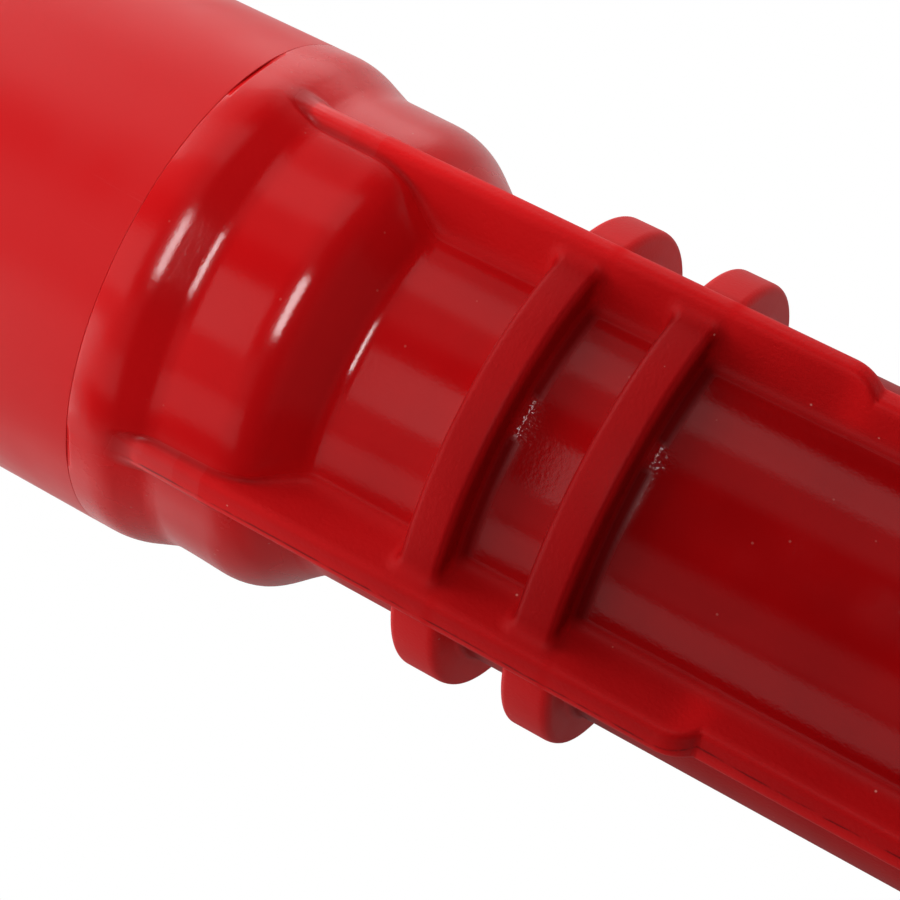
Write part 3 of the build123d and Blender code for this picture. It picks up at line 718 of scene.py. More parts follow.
@dataclass
class Neck:
    """Sizes of the finned neck, one red moulding: collar, shoulder, neck, two hoops, four fins and foot.

    Names that end in depth tell how far below the seam a place lies, apart from the recess's and the seats'.
    """

    seam_height: float = 0.200
    bottom: float = 0.024
    bore: float = 0.0271
    radius: float = 0.0292
    collar_radius: float = 0.038
    foot_top: float = 0.034
    foot_taper: float = 0.006
    foot_round: float = 0.001
    foot_fillet: float = 0.002
    seam_round: float = 0.00003
    collar_depth: float = 0.0050
    collar_round: float = 0.0119
    shoulder_depth: float = 0.0115
    shoulder_fillet: float = 0.0080
    shoulder_end_depth: float = 0.0244
    shoulder_round: float = 0.0115
    shoulder_radius: float = 0.0354
    shoulder_end_radius: float = 0.0352
    neck_depth: float = 0.0321
    neck_fillet: float = 0.0046
    hoop_depths: tuple[float, float] = (0.0688, 0.0519)
    hoop_radius: float = 0.0343
    hoop_thickness: float = 0.0058
    hoop_round: float = 0.0011
    hoop_lower_fillet: float = 0.0015
    hoop_upper_fillet: float = 0.0009
    hoop_swell: tuple[float, float] = (0.0018, 0.0008)  # beyond the fins towards -X and towards +X
    hoop_reach: float = 0.0075  # how far below a hoop's middle the swell is made up for
    shoulder_fullness: float = 0.0006  # beyond the fins towards -X
    fullness_widths: tuple[float, float] = (0.008, 0.0035)  # above and below the shoulder's end
    aside_ramp: float = 8.0  # degrees over which the swell and the fullness set in
    recess_radius: float = 0.033
    recess_depth: float = 0.008
    rim_radius: float = 0.0369
    lower_rim_radius: float = 0.0345
    step_depth: float = 0.0884
    step_length: float = 0.0048
    step_ease: float = 2.4
    inner_azimuth: float = 41.9  # where the fins' inner rim corners are
    draft: float = 3.0  # of the fins' walls, in degrees
    rim_width: float = 0.0035
    parting_rim_width: float = 0.0049
    parting_line: float = 0.0032  # from the rim's end
    parting_jog: float = 0.0010
    parting_stray: float = 0.00022
    parting_waves: float = 130.0  # to the metre
    tube_blend: float = 0.0016
    outer_blend: float = 0.0034
    hoop_blend: float = 0.0021
    shoulder_blend: float = 0.0008
    shoulder_blend_rise: float = 0.006
    rim_blend: float = 0.0011
    outer_rim_blend: float = 0.0017
    screw_height: float = 0.052
    screw_seat_radius: float = 0.0047
    screw_seat_depth: float = 0.0017
    screw_seat_cut: float = 0.010
    corner_steps: int = 9
    long_row: float = 0.0026
    short_row: float = 0.00085
    step_row: float = 0.0005
    step_margin: float = 0.002
    below_hoops: float = 0.009  # below the lower hoop's middle, from where the rows are long

    def outside(self) -> Outline:
        """Draw the body's outside without its fins, from the foot up to the top face.

        Returns:
            Points as radius and height.
        """
        half, top = self.hoop_thickness / 2, self.seam_height
        corners = [
            Corner(self.lower_rim_radius, self.bottom),
            Corner(self.lower_rim_radius, self.foot_top, self.foot_round),
            Corner(self.radius, self.foot_top + self.foot_taper, self.foot_fillet),
        ]
        for depth in self.hoop_depths:
            corners += [
                Corner(self.radius, top - depth - half, self.hoop_lower_fillet),
                Corner(self.hoop_radius, top - depth - half, self.hoop_round),
                Corner(self.hoop_radius, top - depth + half, self.hoop_round),
                Corner(self.radius, top - depth + half, self.hoop_upper_fillet),
            ]
        corners += [
            Corner(self.radius, top - self.neck_depth, self.neck_fillet),
            Corner(self.shoulder_end_radius, top - self.shoulder_end_depth, self.shoulder_round),
            Corner(self.shoulder_radius, top - self.shoulder_depth, self.shoulder_fillet),
            Corner(self.collar_radius, top - self.collar_depth, self.collar_round),
            Corner(self.collar_radius, top, self.seam_round),
            Corner(self.recess_radius, top),
        ]
        return rounded_outline(corners, self.corner_steps)

    def rows(self) -> Outline:
        """Divide the outside into the rows of the mesh, close together round the hoops and the fins' step.

        Returns:
            Points as radius and height.
        """
        step = self.seam_height - self.step_depth
        lowest = self.seam_height - self.hoop_depths[0] - self.below_hoops
        cuts = (step - self.step_length - self.step_margin, step + self.step_margin, lowest)
        out: Outline = []
        outside = self.outside()
        for start, end in zip(outside, outside[1:]):
            stretch = [start]
            for cut in cuts:
                if start[1] < cut < end[1]:
                    share = (cut - start[1]) / (end[1] - start[1])
                    stretch.append((start[0] + (end[0] - start[0]) * share, cut))
            stretch.append(end)
            for here, there in zip(stretch, stretch[1:]):
                middle = (here[1] + there[1]) / 2
                longest = self.long_row if middle < lowest else self.short_row
                longest = self.step_row if cuts[0] < middle < cuts[1] else longest
                out += divided([here, there], longest)[1 if out else 0:]
        return out

    def inside(self) -> Outline:
        """Draw the recess and the bore, from the top down."""
        floor = self.seam_height - self.recess_depth
        return [(self.recess_radius, floor), (self.bore, floor), (self.bore, self.bottom)]

    def rim_at(self, height: np.ndarray) -> np.ndarray:
        """Give the fins' rim radius at each height, with the step eased in from below."""
        share = ramp(height, self.seam_height - self.step_depth - self.step_length, self.step_length)
        return self.rim_radius - (self.rim_radius - self.lower_rim_radius) * (1 - share) ** self.step_ease

    def fold(self, azimuth: np.ndarray) -> np.ndarray:
        """Fold azimuths in degrees onto one quarter: 0 at the front and the back, 90 at the sides."""
        return np.minimum(np.abs(azimuth), 180 - np.abs(azimuth))

    def beyond(self, azimuth: np.ndarray) -> np.ndarray:
        """Give how far each azimuth lies beyond the fins, from 0 between them to 1 at the sides."""
        return ramp(self.fold(azimuth), self.inner_azimuth, self.aside_ramp)

    def restack(self, height: np.ndarray, start: object, end: object) -> np.ndarray:
        """Move heights below the hoops' middles as the lower halves of the hoops change their thickness.

        Args:
            height: The heights.
            start: A lower half's thickness before.
            end: Its thickness after.

        Returns:
            The moved heights.
        """
        out = height.copy()
        for depth in self.hoop_depths:
            centre = self.seam_height - depth
            below = centre - height
            share = np.clip((below - start) / (self.hoop_reach - start), 0, 1)
            moved = np.where(below < start, below * end / start, end + share * (self.hoop_reach - end))
            out = np.where((below > 0) & (below < self.hoop_reach), centre - moved, out)
        return out

    def swollen_half(self, azimuth: np.ndarray) -> np.ndarray:
        """Give the thickness of the hoops' lower halves, which swell towards the mouth beyond the fins."""
        swell = np.where(azimuth < 0, self.hoop_swell[0], self.hoop_swell[1])
        return self.hoop_thickness / 2 + swell * self.beyond(azimuth)

    def unswell(self, height: np.ndarray, azimuth: np.ndarray) -> np.ndarray:
        """Turn heights on the swollen hoops into heights on the even outline."""
        return self.restack(height, self.swollen_half(azimuth), self.hoop_thickness / 2)

    def swollen(self, height: np.ndarray, azimuth: np.ndarray) -> np.ndarray:
        """Turn heights on the even outline into heights on the swollen hoops."""
        return self.restack(height, self.hoop_thickness / 2, self.swollen_half(azimuth))

    def fullness(self, height: np.ndarray, azimuth: np.ndarray) -> np.ndarray:
        """Give how far the shoulder's end is filled out beyond the fins towards -X.

        Args:
            height: The points' heights.
            azimuth: Their azimuths in degrees.

        Returns:
            The distances outwards.
        """
        end = self.seam_height - self.shoulder_end_depth
        width = np.where(height > end, *self.fullness_widths)
        return self.shoulder_fullness * (azimuth < 0) * self.beyond(azimuth) * bell(height, end, width)

    def parting_reach(self, rim: object, fin: int, height: float) -> object:
        """Give how far the parting line lies from its rim's end. It wanders, and jogs inwards below the step.

        Args:
            rim: The rim's radius.
            fin: The fin's number.
            height: The height.

        Returns:
            The distance.
        """
        low = (self.rim_radius - rim) / (self.rim_radius - self.lower_rim_radius)
        wander = self.parting_stray * noise.noise(Vector((height * self.parting_waves, fin, 0.5)))
        return self.parting_line - self.parting_jog * low + wander

    def rims(self) -> list[tuple[float, float, bool]]:
        """List the fins' rims.

        Returns:
            Where each rim starts and ends in degrees, and whether the moulds part along it.
        """
        plain = math.degrees(self.rim_width / self.rim_radius)
        parting = math.degrees(self.parting_rim_width / self.rim_radius)
        inner = self.inner_azimuth
        return [
            (-inner - parting, -inner, True),
            (inner, inner + plain, False),
            (180 - inner - parting, 180 - inner, True),
            (180 + inner, 180 + inner + plain, False),
        ]


def azimuths(points: np.ndarray) -> np.ndarray:
    """Give the points' azimuths in degrees."""
    return np.degrees(np.arctan2(points[:, 0], -points[:, 1]))


class NeckForm:
    """The neck's outside as a distance field, in which the fins melt into the body."""

    least_run = 1e-7  # shorter runs of the outline are left out
    probe = 0.0001  # how far above and below a point the rim's slope is measured
    outer_gap = 1  # degrees beyond the fins' inner corners, from where their outer sides count
    outer_ramp = 4.0  # degrees over which the fins' outer roots turn softer
    least_slope = 0.2  # keeps points that hold their height from jumping

    def __init__(self, neck: Neck) -> None:
        """Draw the body's outline and the fins' walls.

        Args:
            neck: The neck's sizes.
        """
        self.neck = neck
        line = np.array(neck.outside())
        keep = np.concatenate(([True], np.hypot(*np.diff(line, axis=0).T) > self.least_run))
        self.line = line[keep]
        steps = np.diff(self.line, axis=0)
        steps /= np.linalg.norm(steps, axis=1)[:, None]
        across = np.stack((steps[:, 1], -steps[:, 0]), axis=1)
        corner = np.vstack((across[:1], across[:-1] + across[1:], across[-1:]))
        corner /= np.linalg.norm(corner, axis=1)[:, None]
        self.corner = corner
        self.walls = []
        for start, end, _ in neck.rims():
            for side, azimuth in ((-1, start), (1, end)):
                self.walls.append(self.wall(azimuth, side))

    def wall(self, azimuth: float, side: int) -> tuple[np.ndarray, float, float]:
        """Work out a fin's wall as a plane along the axis.

        Args:
            azimuth: Where the rim's corner is.
            side: -1 for the wall at the rim's start, 1 for the wall at its end.

        Returns:
            The plane's outward normal, its distance from the axis, and how wide its edge is rounded.
        """
        neck = self.neck
        top, foot = math.radians(azimuth), math.radians(azimuth + side * neck.draft)
        high = neck.rim_radius * np.array((math.sin(top), -math.cos(top)))
        low = neck.radius * np.array((math.sin(foot), -math.cos(foot)))
        run = (high - low) / np.linalg.norm(high - low)
        normal = side * np.array((-run[1], run[0]))
        outer = min(azimuth % 180, 180 - azimuth % 180) > neck.inner_azimuth + self.outer_gap
        return normal, float(normal @ high), neck.outer_rim_blend if outer else neck.rim_blend

    def body(self, radius: np.ndarray, height: np.ndarray) -> tuple[np.ndarray, np.ndarray]:
        """Measure points against the outline.

        Args:
            radius: The points' radii.
            height: Their heights.

        Returns:
            Their signed distances, and the outward directions as radius and height.
        """
        start, run = self.line[:-1], np.diff(self.line, axis=0)
        length = (run * run).sum(axis=1)
        from_start = np.stack((radius, height), axis=1)[:, None] - start[None]
        share = np.clip((from_start * run).sum(axis=2) / length, 0, 1)
        gap = from_start - share[..., None] * run
        nearest = (gap * gap).sum(axis=2).argmin(axis=1)
        index = np.arange(len(radius))
        share, gap = share[index, nearest][:, None], gap[index, nearest]
        normal = self.corner[nearest] * (1 - share) + self.corner[nearest + 1] * share
        normal /= np.linalg.norm(normal, axis=1)[:, None]
        return np.linalg.norm(gap, axis=1) * np.where((gap * normal).sum(axis=1) < 0, -1, 1), normal

    def measure(self, points: np.ndarray) -> tuple[np.ndarray, np.ndarray, np.ndarray]:
        """Measure points against the whole outside.

        Args:
            points: The points, one a row.

        Returns:
            Their distances, the outward directions, and how much of each lies on a fin.
        """
        neck = self.neck
        height, radius = points[:, 2], np.hypot(points[:, 0], points[:, 1])
        radial = np.stack((points[:, 0] / radius, points[:, 1] / radius, np.zeros_like(radius)), axis=1)
        azimuth = azimuths(points)
        full = neck.fullness(height, azimuth)
        distance, flat = self.body(radius - full, neck.unswell(height, azimuth))
        normal = radial * flat[:, :1]
        normal[:, 2] = flat[:, 1]
        blend = self.blend(height, radius, azimuth)
        rim_radius = neck.rim_at(height)
        slope = (neck.rim_at(height + self.probe) - neck.rim_at(height - self.probe)) / (2 * self.probe)
        steep = np.sqrt(1 + slope * slope)
        rim = (radius - rim_radius) / steep
        rim_normal = radial / steep[:, None]
        rim_normal[:, 2] = -slope / steep
        on_fin = np.zeros_like(radius)
        for first, second in zip(self.walls[::2], self.walls[1::2]):
            fin, fin_normal = rim, rim_normal
            for plane, offset, edge_blend in (first, second):
                wall = points[:, :2] @ plane - offset
                wall_normal = np.broadcast_to(np.append(plane, 0.0), points.shape)
                fin, fin_normal, _ = self.melt(-fin, -fin_normal, -wall, -wall_normal, edge_blend)
                fin, fin_normal = -fin, -fin_normal
            behind = points[:, :2] @ (first[0] + second[0]) < 0
            fin = np.where(behind, neck.rim_radius, fin)
            distance, normal, share = self.melt(distance, normal, fin, fin_normal, blend)
            on_fin = np.maximum(on_fin, share)
        return distance, normal / np.linalg.norm(normal, axis=1)[:, None], on_fin

    def blend(self, height: np.ndarray, radius: np.ndarray, azimuth: np.ndarray) -> np.ndarray:
        """Give how softly the fins' roots run into the body.

        Args:
            height: The points' heights.
            radius: Their radii.
            azimuth: Their azimuths in degrees.

        Returns:
            How wide the blend is at each point.
        """
        neck = self.neck
        outer = ramp(neck.fold(azimuth), neck.inner_azimuth + self.outer_gap, self.outer_ramp)
        tube = neck.tube_blend + (neck.outer_blend - neck.tube_blend) * outer
        blend = tube + (neck.hoop_blend - tube) * ramp(radius, neck.radius, neck.hoop_radius - neck.radius)
        high = ramp(height, neck.seam_height - neck.neck_depth, neck.shoulder_blend_rise)
        return blend + (neck.shoulder_blend - blend) * high

    @staticmethod
    def melt(
        first: np.ndarray,
        first_normal: np.ndarray,
        second: np.ndarray,
        second_normal: np.ndarray,
        blend: object,
    ) -> tuple[np.ndarray, np.ndarray, np.ndarray]:
        """Join two distance fields with a soft blend.

        Args:
            first: The first distances.
            first_normal: The first directions.
            second: The second distances.
            second_normal: The second directions.
            blend: How wide the blend is.

        Returns:
            The joined distances and directions, and the second field's share.
        """
        share = np.clip(0.5 + 0.5 * (first - second) / blend, 0, 1)
        joined = first * (1 - share) + second * share - blend * share * (1 - share)
        return joined, first_normal * (1 - share)[:, None] + second_normal * share[:, None], share

    def settle(self, points: np.ndarray, level: np.ndarray, rounds: int = 4) -> np.ndarray:
        """Move points onto the surface.

        Args:
            points: The points, one a row.
            level: Which of them keep their height.
            rounds: How often each is moved.

        Returns:
            The settled points.
        """
        for _ in range(rounds):
            distance, normal, _ = self.measure(points)
            normal[level, 2] = 0.0
            size = np.maximum((normal * normal).sum(axis=1), self.least_slope)
            points = points - normal * (distance / size)[:, None]
        return points


class Place(Enum):
    """Where a column lies."""

    ROOT = "in a fin's root"
    WALL = "on a fin's wall"
    RIM = "on a rim"
    FLASH = "beside the parting line"
    PANEL = "between two fins"


@dataclass(frozen=True)
class Station:
    """One column of the neck's mesh, as a place on a fin's section or on a panel between two fins."""

    fin: int
    kind: Place
    share: float
    side: int = 0


@dataclass
class FinLayout:
    """The columns that draw the four fins and the panels between them."""

    neck: Neck
    roots: tuple[float, ...] = (0.0024, 0.0019, 0.0015, 0.00115, 0.00085, 0.0006, 0.00038, 0.00018)
    walls: tuple[float, ...] = (0.0, 0.05, 0.11, 0.19, 0.30, 0.45, 0.60, 0.74, 0.84, 0.91, 0.96, 1.0)
    rim: tuple[float, ...] = (0.05, 0.12, 0.22, 0.36, 0.52, 0.68, 0.80, 0.90, 0.96)
    before_parting: tuple[float, ...] = (0.05, 0.12, 0.20)
    parting: tuple[float, ...] = (0.00026, 0.00012, 0.0, -0.00012, -0.00026)
    after_parting: tuple[float, ...] = (0.67, 0.75, 0.83, 0.90, 0.96)
    panel_step: float = 1.9
    panel_margin: float = 14.0
    least_spread: float = 0.0018
    least_spread_rise: float = 0.003
    lean_radius: float = 0.033

    def __post_init__(self) -> None:
        """List the columns in order of azimuth, from the first fin round to the panel before it."""
        neck = self.neck
        self.rims = neck.rims()
        self.lean = math.radians(neck.draft) * self.lean_radius / (neck.rim_radius - neck.radius)
        self.stations: list[Station] = []
        for fin, (_, end, parting) in enumerate(self.rims):
            rise = [Station(fin, Place.ROOT, reach, -1) for reach in self.roots]
            rise += [Station(fin, Place.WALL, share, -1) for share in self.walls]
            top = [Station(fin, Place.RIM, share) for share in (self.before_parting if parting else self.rim)]
            if parting:
                top += [Station(fin, Place.FLASH, shift) for shift in self.parting]
                top += [Station(fin, Place.RIM, share) for share in self.after_parting]
            fall = [Station(fin, station.kind, station.share, 1) for station in reversed(rise)]
            self.stations += rise + top + fall
            gap = (self.rims[(fin + 1) % len(self.rims)][0] - end) % 360 - self.panel_margin
            steps = int(gap / self.panel_step)
            self.stations += [Station(fin, Place.PANEL, step / steps) for step in range(1, steps)]

    def place(self, station: Station, radius: float, height: float, rim: float) -> tuple[float, float]:
        """Place one column on one row.

        Args:
            station: The column.
            radius: The row's radius.
            height: The row's height.
            rim: The rim's radius there.

        Returns:
            The azimuth in degrees and the radius.
        """
        start, end, _ = self.rims[station.fin]
        rise = max(0.0, rim - radius)
        least = self.least_spread * (1 - min(1.0, rise / self.least_spread_rise))
        spread = max(self.lean * rise, least)
        if station.kind is Place.PANEL:
            root = math.degrees((spread + self.roots[0]) / radius)
            last = station.fin == len(self.rims) - 1
            following = self.rims[(station.fin + 1) % len(self.rims)][0] + (360 if last else 0)
            return end + root + (following - end - 2 * root) * station.share, radius
        if station.kind is Place.RIM:
            return start + (end - start) * station.share, radius + rise
        if station.kind is Place.FLASH:
            reach = self.neck.parting_reach(rim, station.fin, height) + station.share
            return end - math.degrees(reach / rim), radius + rise
        corner = start if station.side < 0 else end
        if station.kind is Place.WALL:
            away = spread * (1 - station.share)
            azimuth = corner + station.side * math.degrees(away / (radius + rise / 2))
            return azimuth, radius + rise * station.share
        return corner + station.side * math.degrees((spread + station.share) / radius), radius


@dataclass
class Skin:
    """What is known about each vertex of the neck's outside."""

    points: np.ndarray
    normal: np.ndarray
    on_fin: np.ndarray
    hoop: np.ndarray
    azimuth: np.ndarray
    fold: np.ndarray
    side_start: float = 46.0
    side_ramp: float = 8.0

    @property
    def height(self) -> np.ndarray:
        """Give the heights."""
        return self.points[:, 2]

    @property
    def raised(self) -> np.ndarray:
        """Give how much of each point lies on a fin or a hoop."""
        return np.maximum(self.on_fin, self.hoop)

    @property
    def side(self) -> np.ndarray:
        """Give how far each point lies beyond the fins."""
        return ramp(self.fold, self.side_start, self.side_ramp)

    @property
    def front(self) -> np.ndarray:
        """Give how far each point lies between the fins."""
        return 1 - self.side


@dataclass(frozen=True)
class NeckLook:
    """How bright, rough and rippled the neck's red is from place to place. Much of the brightness is painted
    light and painted shade.

    A table holds heights and the values there. Tones run from the deep red at 0 to the bright red at 1. Gloss
    starts and ends are the azimuths between which the lower and the upper hoop's root is rippled and glossy.
    """

    # painted light: the tube and the fins are painted lighter towards the seam, where more light falls, and
    # darker towards the mouth
    tube_tones: Outline = field(default_factory=lambda: [
        (0.024, 0.21), (0.118, 0.20), (0.126, 0.22), (0.139, 0.28), (0.150, 0.42), (0.160, 0.48),
        (0.167, 0.60), (0.172, 0.78), (0.180, 0.76), (0.188, 0.80), (0.196, 0.90), (0.201, 0.90),
    ])
    fin_tones: Outline = field(default_factory=lambda: [
        (0.024, 0.36), (0.118, 0.36), (0.126, 0.40), (0.139, 0.44), (0.150, 0.52), (0.166, 0.66),
        (0.176, 0.74), (0.186, 0.80), (0.194, 0.90), (0.201, 0.90),
    ])
    roughness: Outline = field(default_factory=lambda: [
        (0.024, 0.10), (0.090, 0.050), (0.118, 0.060), (0.134, 0.08), (0.150, 0.11), (0.176, 0.13),
        (0.186, 0.13), (0.201, 0.17),
    ])
    # painted light: the fins' outer edges are painted lighter below bright_top, as if lit from the side
    edge_tone: float = 0.22
    edge_start: float = 45.0
    edge_ramp: float = 3.0
    # painted light: the fin that gets the most light is painted lighter
    lit_fin_tone: float = 0.34  # on the fin that gets the most light
    lit_fin_azimuth: float = 45.0
    lit_fin_width: float = 9.0
    bright_top: float = 0.19  # below here the fins' edges are brighter
    step_tone: float = 0.20
    step_drop: float = 0.003
    step_width: float = 0.0025
    hoop_tone: float = -0.14
    # painted shade and light: hoop faces turned up between the fins are painted darker, and the hoops beyond
    # the fins and their undersides lighter, as if lit from the sides and from below
    hoop_top_tone: float = -0.25
    hoop_side_tone: float = 0.42
    hoop_under_tones: tuple[float, float] = (0.16, 0.20)  # all round, and more beyond the fins
    under_slope: float = -0.5
    side_blend: float = 0.7
    # painted light: downward faces beyond the fins are painted lighter, as if lit from below
    side_under_tone: float = 0.5
    side_under_start: float = 0.125
    # painted shade: the fins' roots are painted darker above fin_root_start, near the shoulder
    fin_root_tone: float = -1.2
    fin_root_start: float = 0.170
    fin_root_ramp: float = 0.004
    # painted shadow: the tube just below each hoop is painted darker between the fins
    root_tone: float = -0.30
    matt_roughness: float = 0.46
    matt_top: float = 0.191
    matt_ramp: float = 0.014
    matt_sharpness: float = 4.0
    matt_side_start: float = 42.0
    matt_side_ramp: float = 8.0
    shoulder_start: float = 0.160
    shoulder_ramp: float = 0.012
    shoulder_gloss: float = 0.65
    rib_roughness: float = 0.15
    rib_sharpness: float = 2.5
    root_roughness: float = 0.30
    gloss_starts: tuple[float, float] = (4.5, -4.0)
    gloss_ends: tuple[float, float] = (13.0, 9.0)
    gloss_ramp: float = 2.0
    ripple_shares: tuple[float, float] = (0.8, 0.9)
    least_ripple: float = 0.15
    ripple_rise: float = 0.0008  # from a hoop's lower face
    ripple_end: float = 0.0014
    ripple_fade: float = 0.0018
    root_middle: float = 0.0010
    root_width: float = 0.0009
    hoop_start: float = 0.0003  # above the tube, from where a point counts as one on a hoop
    hoop_ramp: float = 0.0012

    def tone(self, neck: Neck, skin: Skin, matt_root: np.ndarray) -> np.ndarray:
        """Work out the tone at each point, most of which is painted light and painted shade.

        Args:
            neck: The neck's sizes.
            skin: The points.
            matt_root: How matt the hoops' roots are, which also sets their painted shadow.

        Returns:
            The tones.
        """
        height, on_fin, side, up = skin.height, skin.on_fin, skin.side, skin.normal[:, 2]
        on_hoop = skin.hoop * (1 - on_fin)
        # painted light: lit fin edges and the most lit fin are painted lighter
        edge = ramp(skin.fold, self.edge_start, self.edge_ramp) * self.edge_tone
        lit_fin = 1 - np.abs(skin.azimuth - self.lit_fin_azimuth) / self.lit_fin_width
        ribs = np.interp(height, *zip(*self.fin_tones))
        ribs += (edge + self.lit_fin_tone * np.clip(lit_fin, 0, 1)) * on_fin * (height < self.bright_top)
        step = neck.seam_height - neck.step_depth - self.step_drop
        ribs += self.step_tone * bell(height, step, self.step_width) * on_fin
        # painted shade on the hoops' upper faces, painted light on their sides and undersides
        ribs += self.hoop_top_tone * on_hoop * skin.front * np.clip(up, 0, 1)
        under, side_under = self.hoop_under_tones
        under = (under + side_under * side) * (up < self.under_slope)
        ribs += on_hoop * (under + self.hoop_side_tone * side + self.hoop_tone)
        tone = np.interp(height, *zip(*self.tube_tones)) * (1 - skin.raised) + ribs * skin.raised
        tone += (ribs - tone) * side * self.side_blend
        # painted light from below on the sides
        tone += self.side_under_tone * side * np.clip(-up, 0, 1) * (height > self.side_under_start)
        # painted shade in the fins' roots
        fin_root = on_fin * (1 - on_fin) * ramp(height, self.fin_root_start, self.fin_root_ramp)
        tone += self.fin_root_tone * fin_root * skin.front
        # painted shadow below the hoops
        return tone + self.root_tone * matt_root * skin.front * (1 - skin.raised)

    def dullness(self, skin: Skin, matt_root: np.ndarray) -> np.ndarray:
        """Work out how matt the finish is at each point. Ribs and sides are matt, the shoulder less so.

        Args:
            skin: The points.
            matt_root: How matt the hoops' roots are.

        Returns:
            The shares of the matt finish.
        """
        shoulder = ramp(skin.height, self.shoulder_start, self.shoulder_ramp)
        ribs = np.clip(skin.raised * self.matt_sharpness, 0, 1)
        ribs *= ramp(skin.height, self.matt_top, -self.matt_ramp)
        sides = ramp(skin.fold, self.matt_side_start, self.matt_side_ramp)
        sides *= 1 - self.shoulder_gloss * shoulder
        return np.maximum(np.maximum(ribs, sides), matt_root)

    def rough(self, skin: Skin, dull: np.ndarray, matt_root: np.ndarray) -> np.ndarray:
        """Work out the roughness at each point.

        Args:
            skin: The points.
            dull: The shares of the matt finish.
            matt_root: How matt the hoops' roots are.

        Returns:
            The roughnesses.
        """
        rough = np.interp(skin.height, *zip(*self.roughness))
        rough += (self.matt_roughness - rough) * dull
        rough += self.rib_roughness * np.clip(skin.raised * self.rib_sharpness, 0, 1) * (1 - dull)
        return rough + self.root_roughness * matt_root * skin.front

    def ripples(self, neck: Neck, skin: Skin) -> tuple[np.ndarray, np.ndarray]:
        """Work out how rippled and how matt the hoops' roots are on their mouth side.

        Args:
            neck: The neck's sizes.
            skin: The points.

        Returns:
            The ripples' strengths and the shares of the matt finish.
        """
        ripple, matt = np.zeros(len(skin.height)), np.zeros(len(skin.height))
        glosses = zip(neck.hoop_depths, self.gloss_starts, self.gloss_ends, self.ripple_shares)
        for depth, start, end, most in glosses:
            below = neck.seam_height - depth - neck.hoop_thickness / 2 - skin.height
            root = ramp(below, 0, self.ripple_rise)
            root *= bell(np.maximum(below, self.ripple_end), self.ripple_end, self.ripple_fade)
            glossy = ramp(skin.azimuth, start, self.gloss_ramp) * ramp(skin.azimuth, end, -self.gloss_ramp)
            ripple = np.maximum(ripple, root * (self.least_ripple + (most - self.least_ripple) * glossy))
            matt = np.maximum(matt, bell(below, self.root_middle, self.root_width) * (1 - glossy))
        return ripple * (1 - skin.raised), matt


@dataclass(frozen=True)
class Nick:
    """A shallow dent in the collar's top edge, with its middle and its width in degrees."""

    azimuth: float
    width: float
    share: float


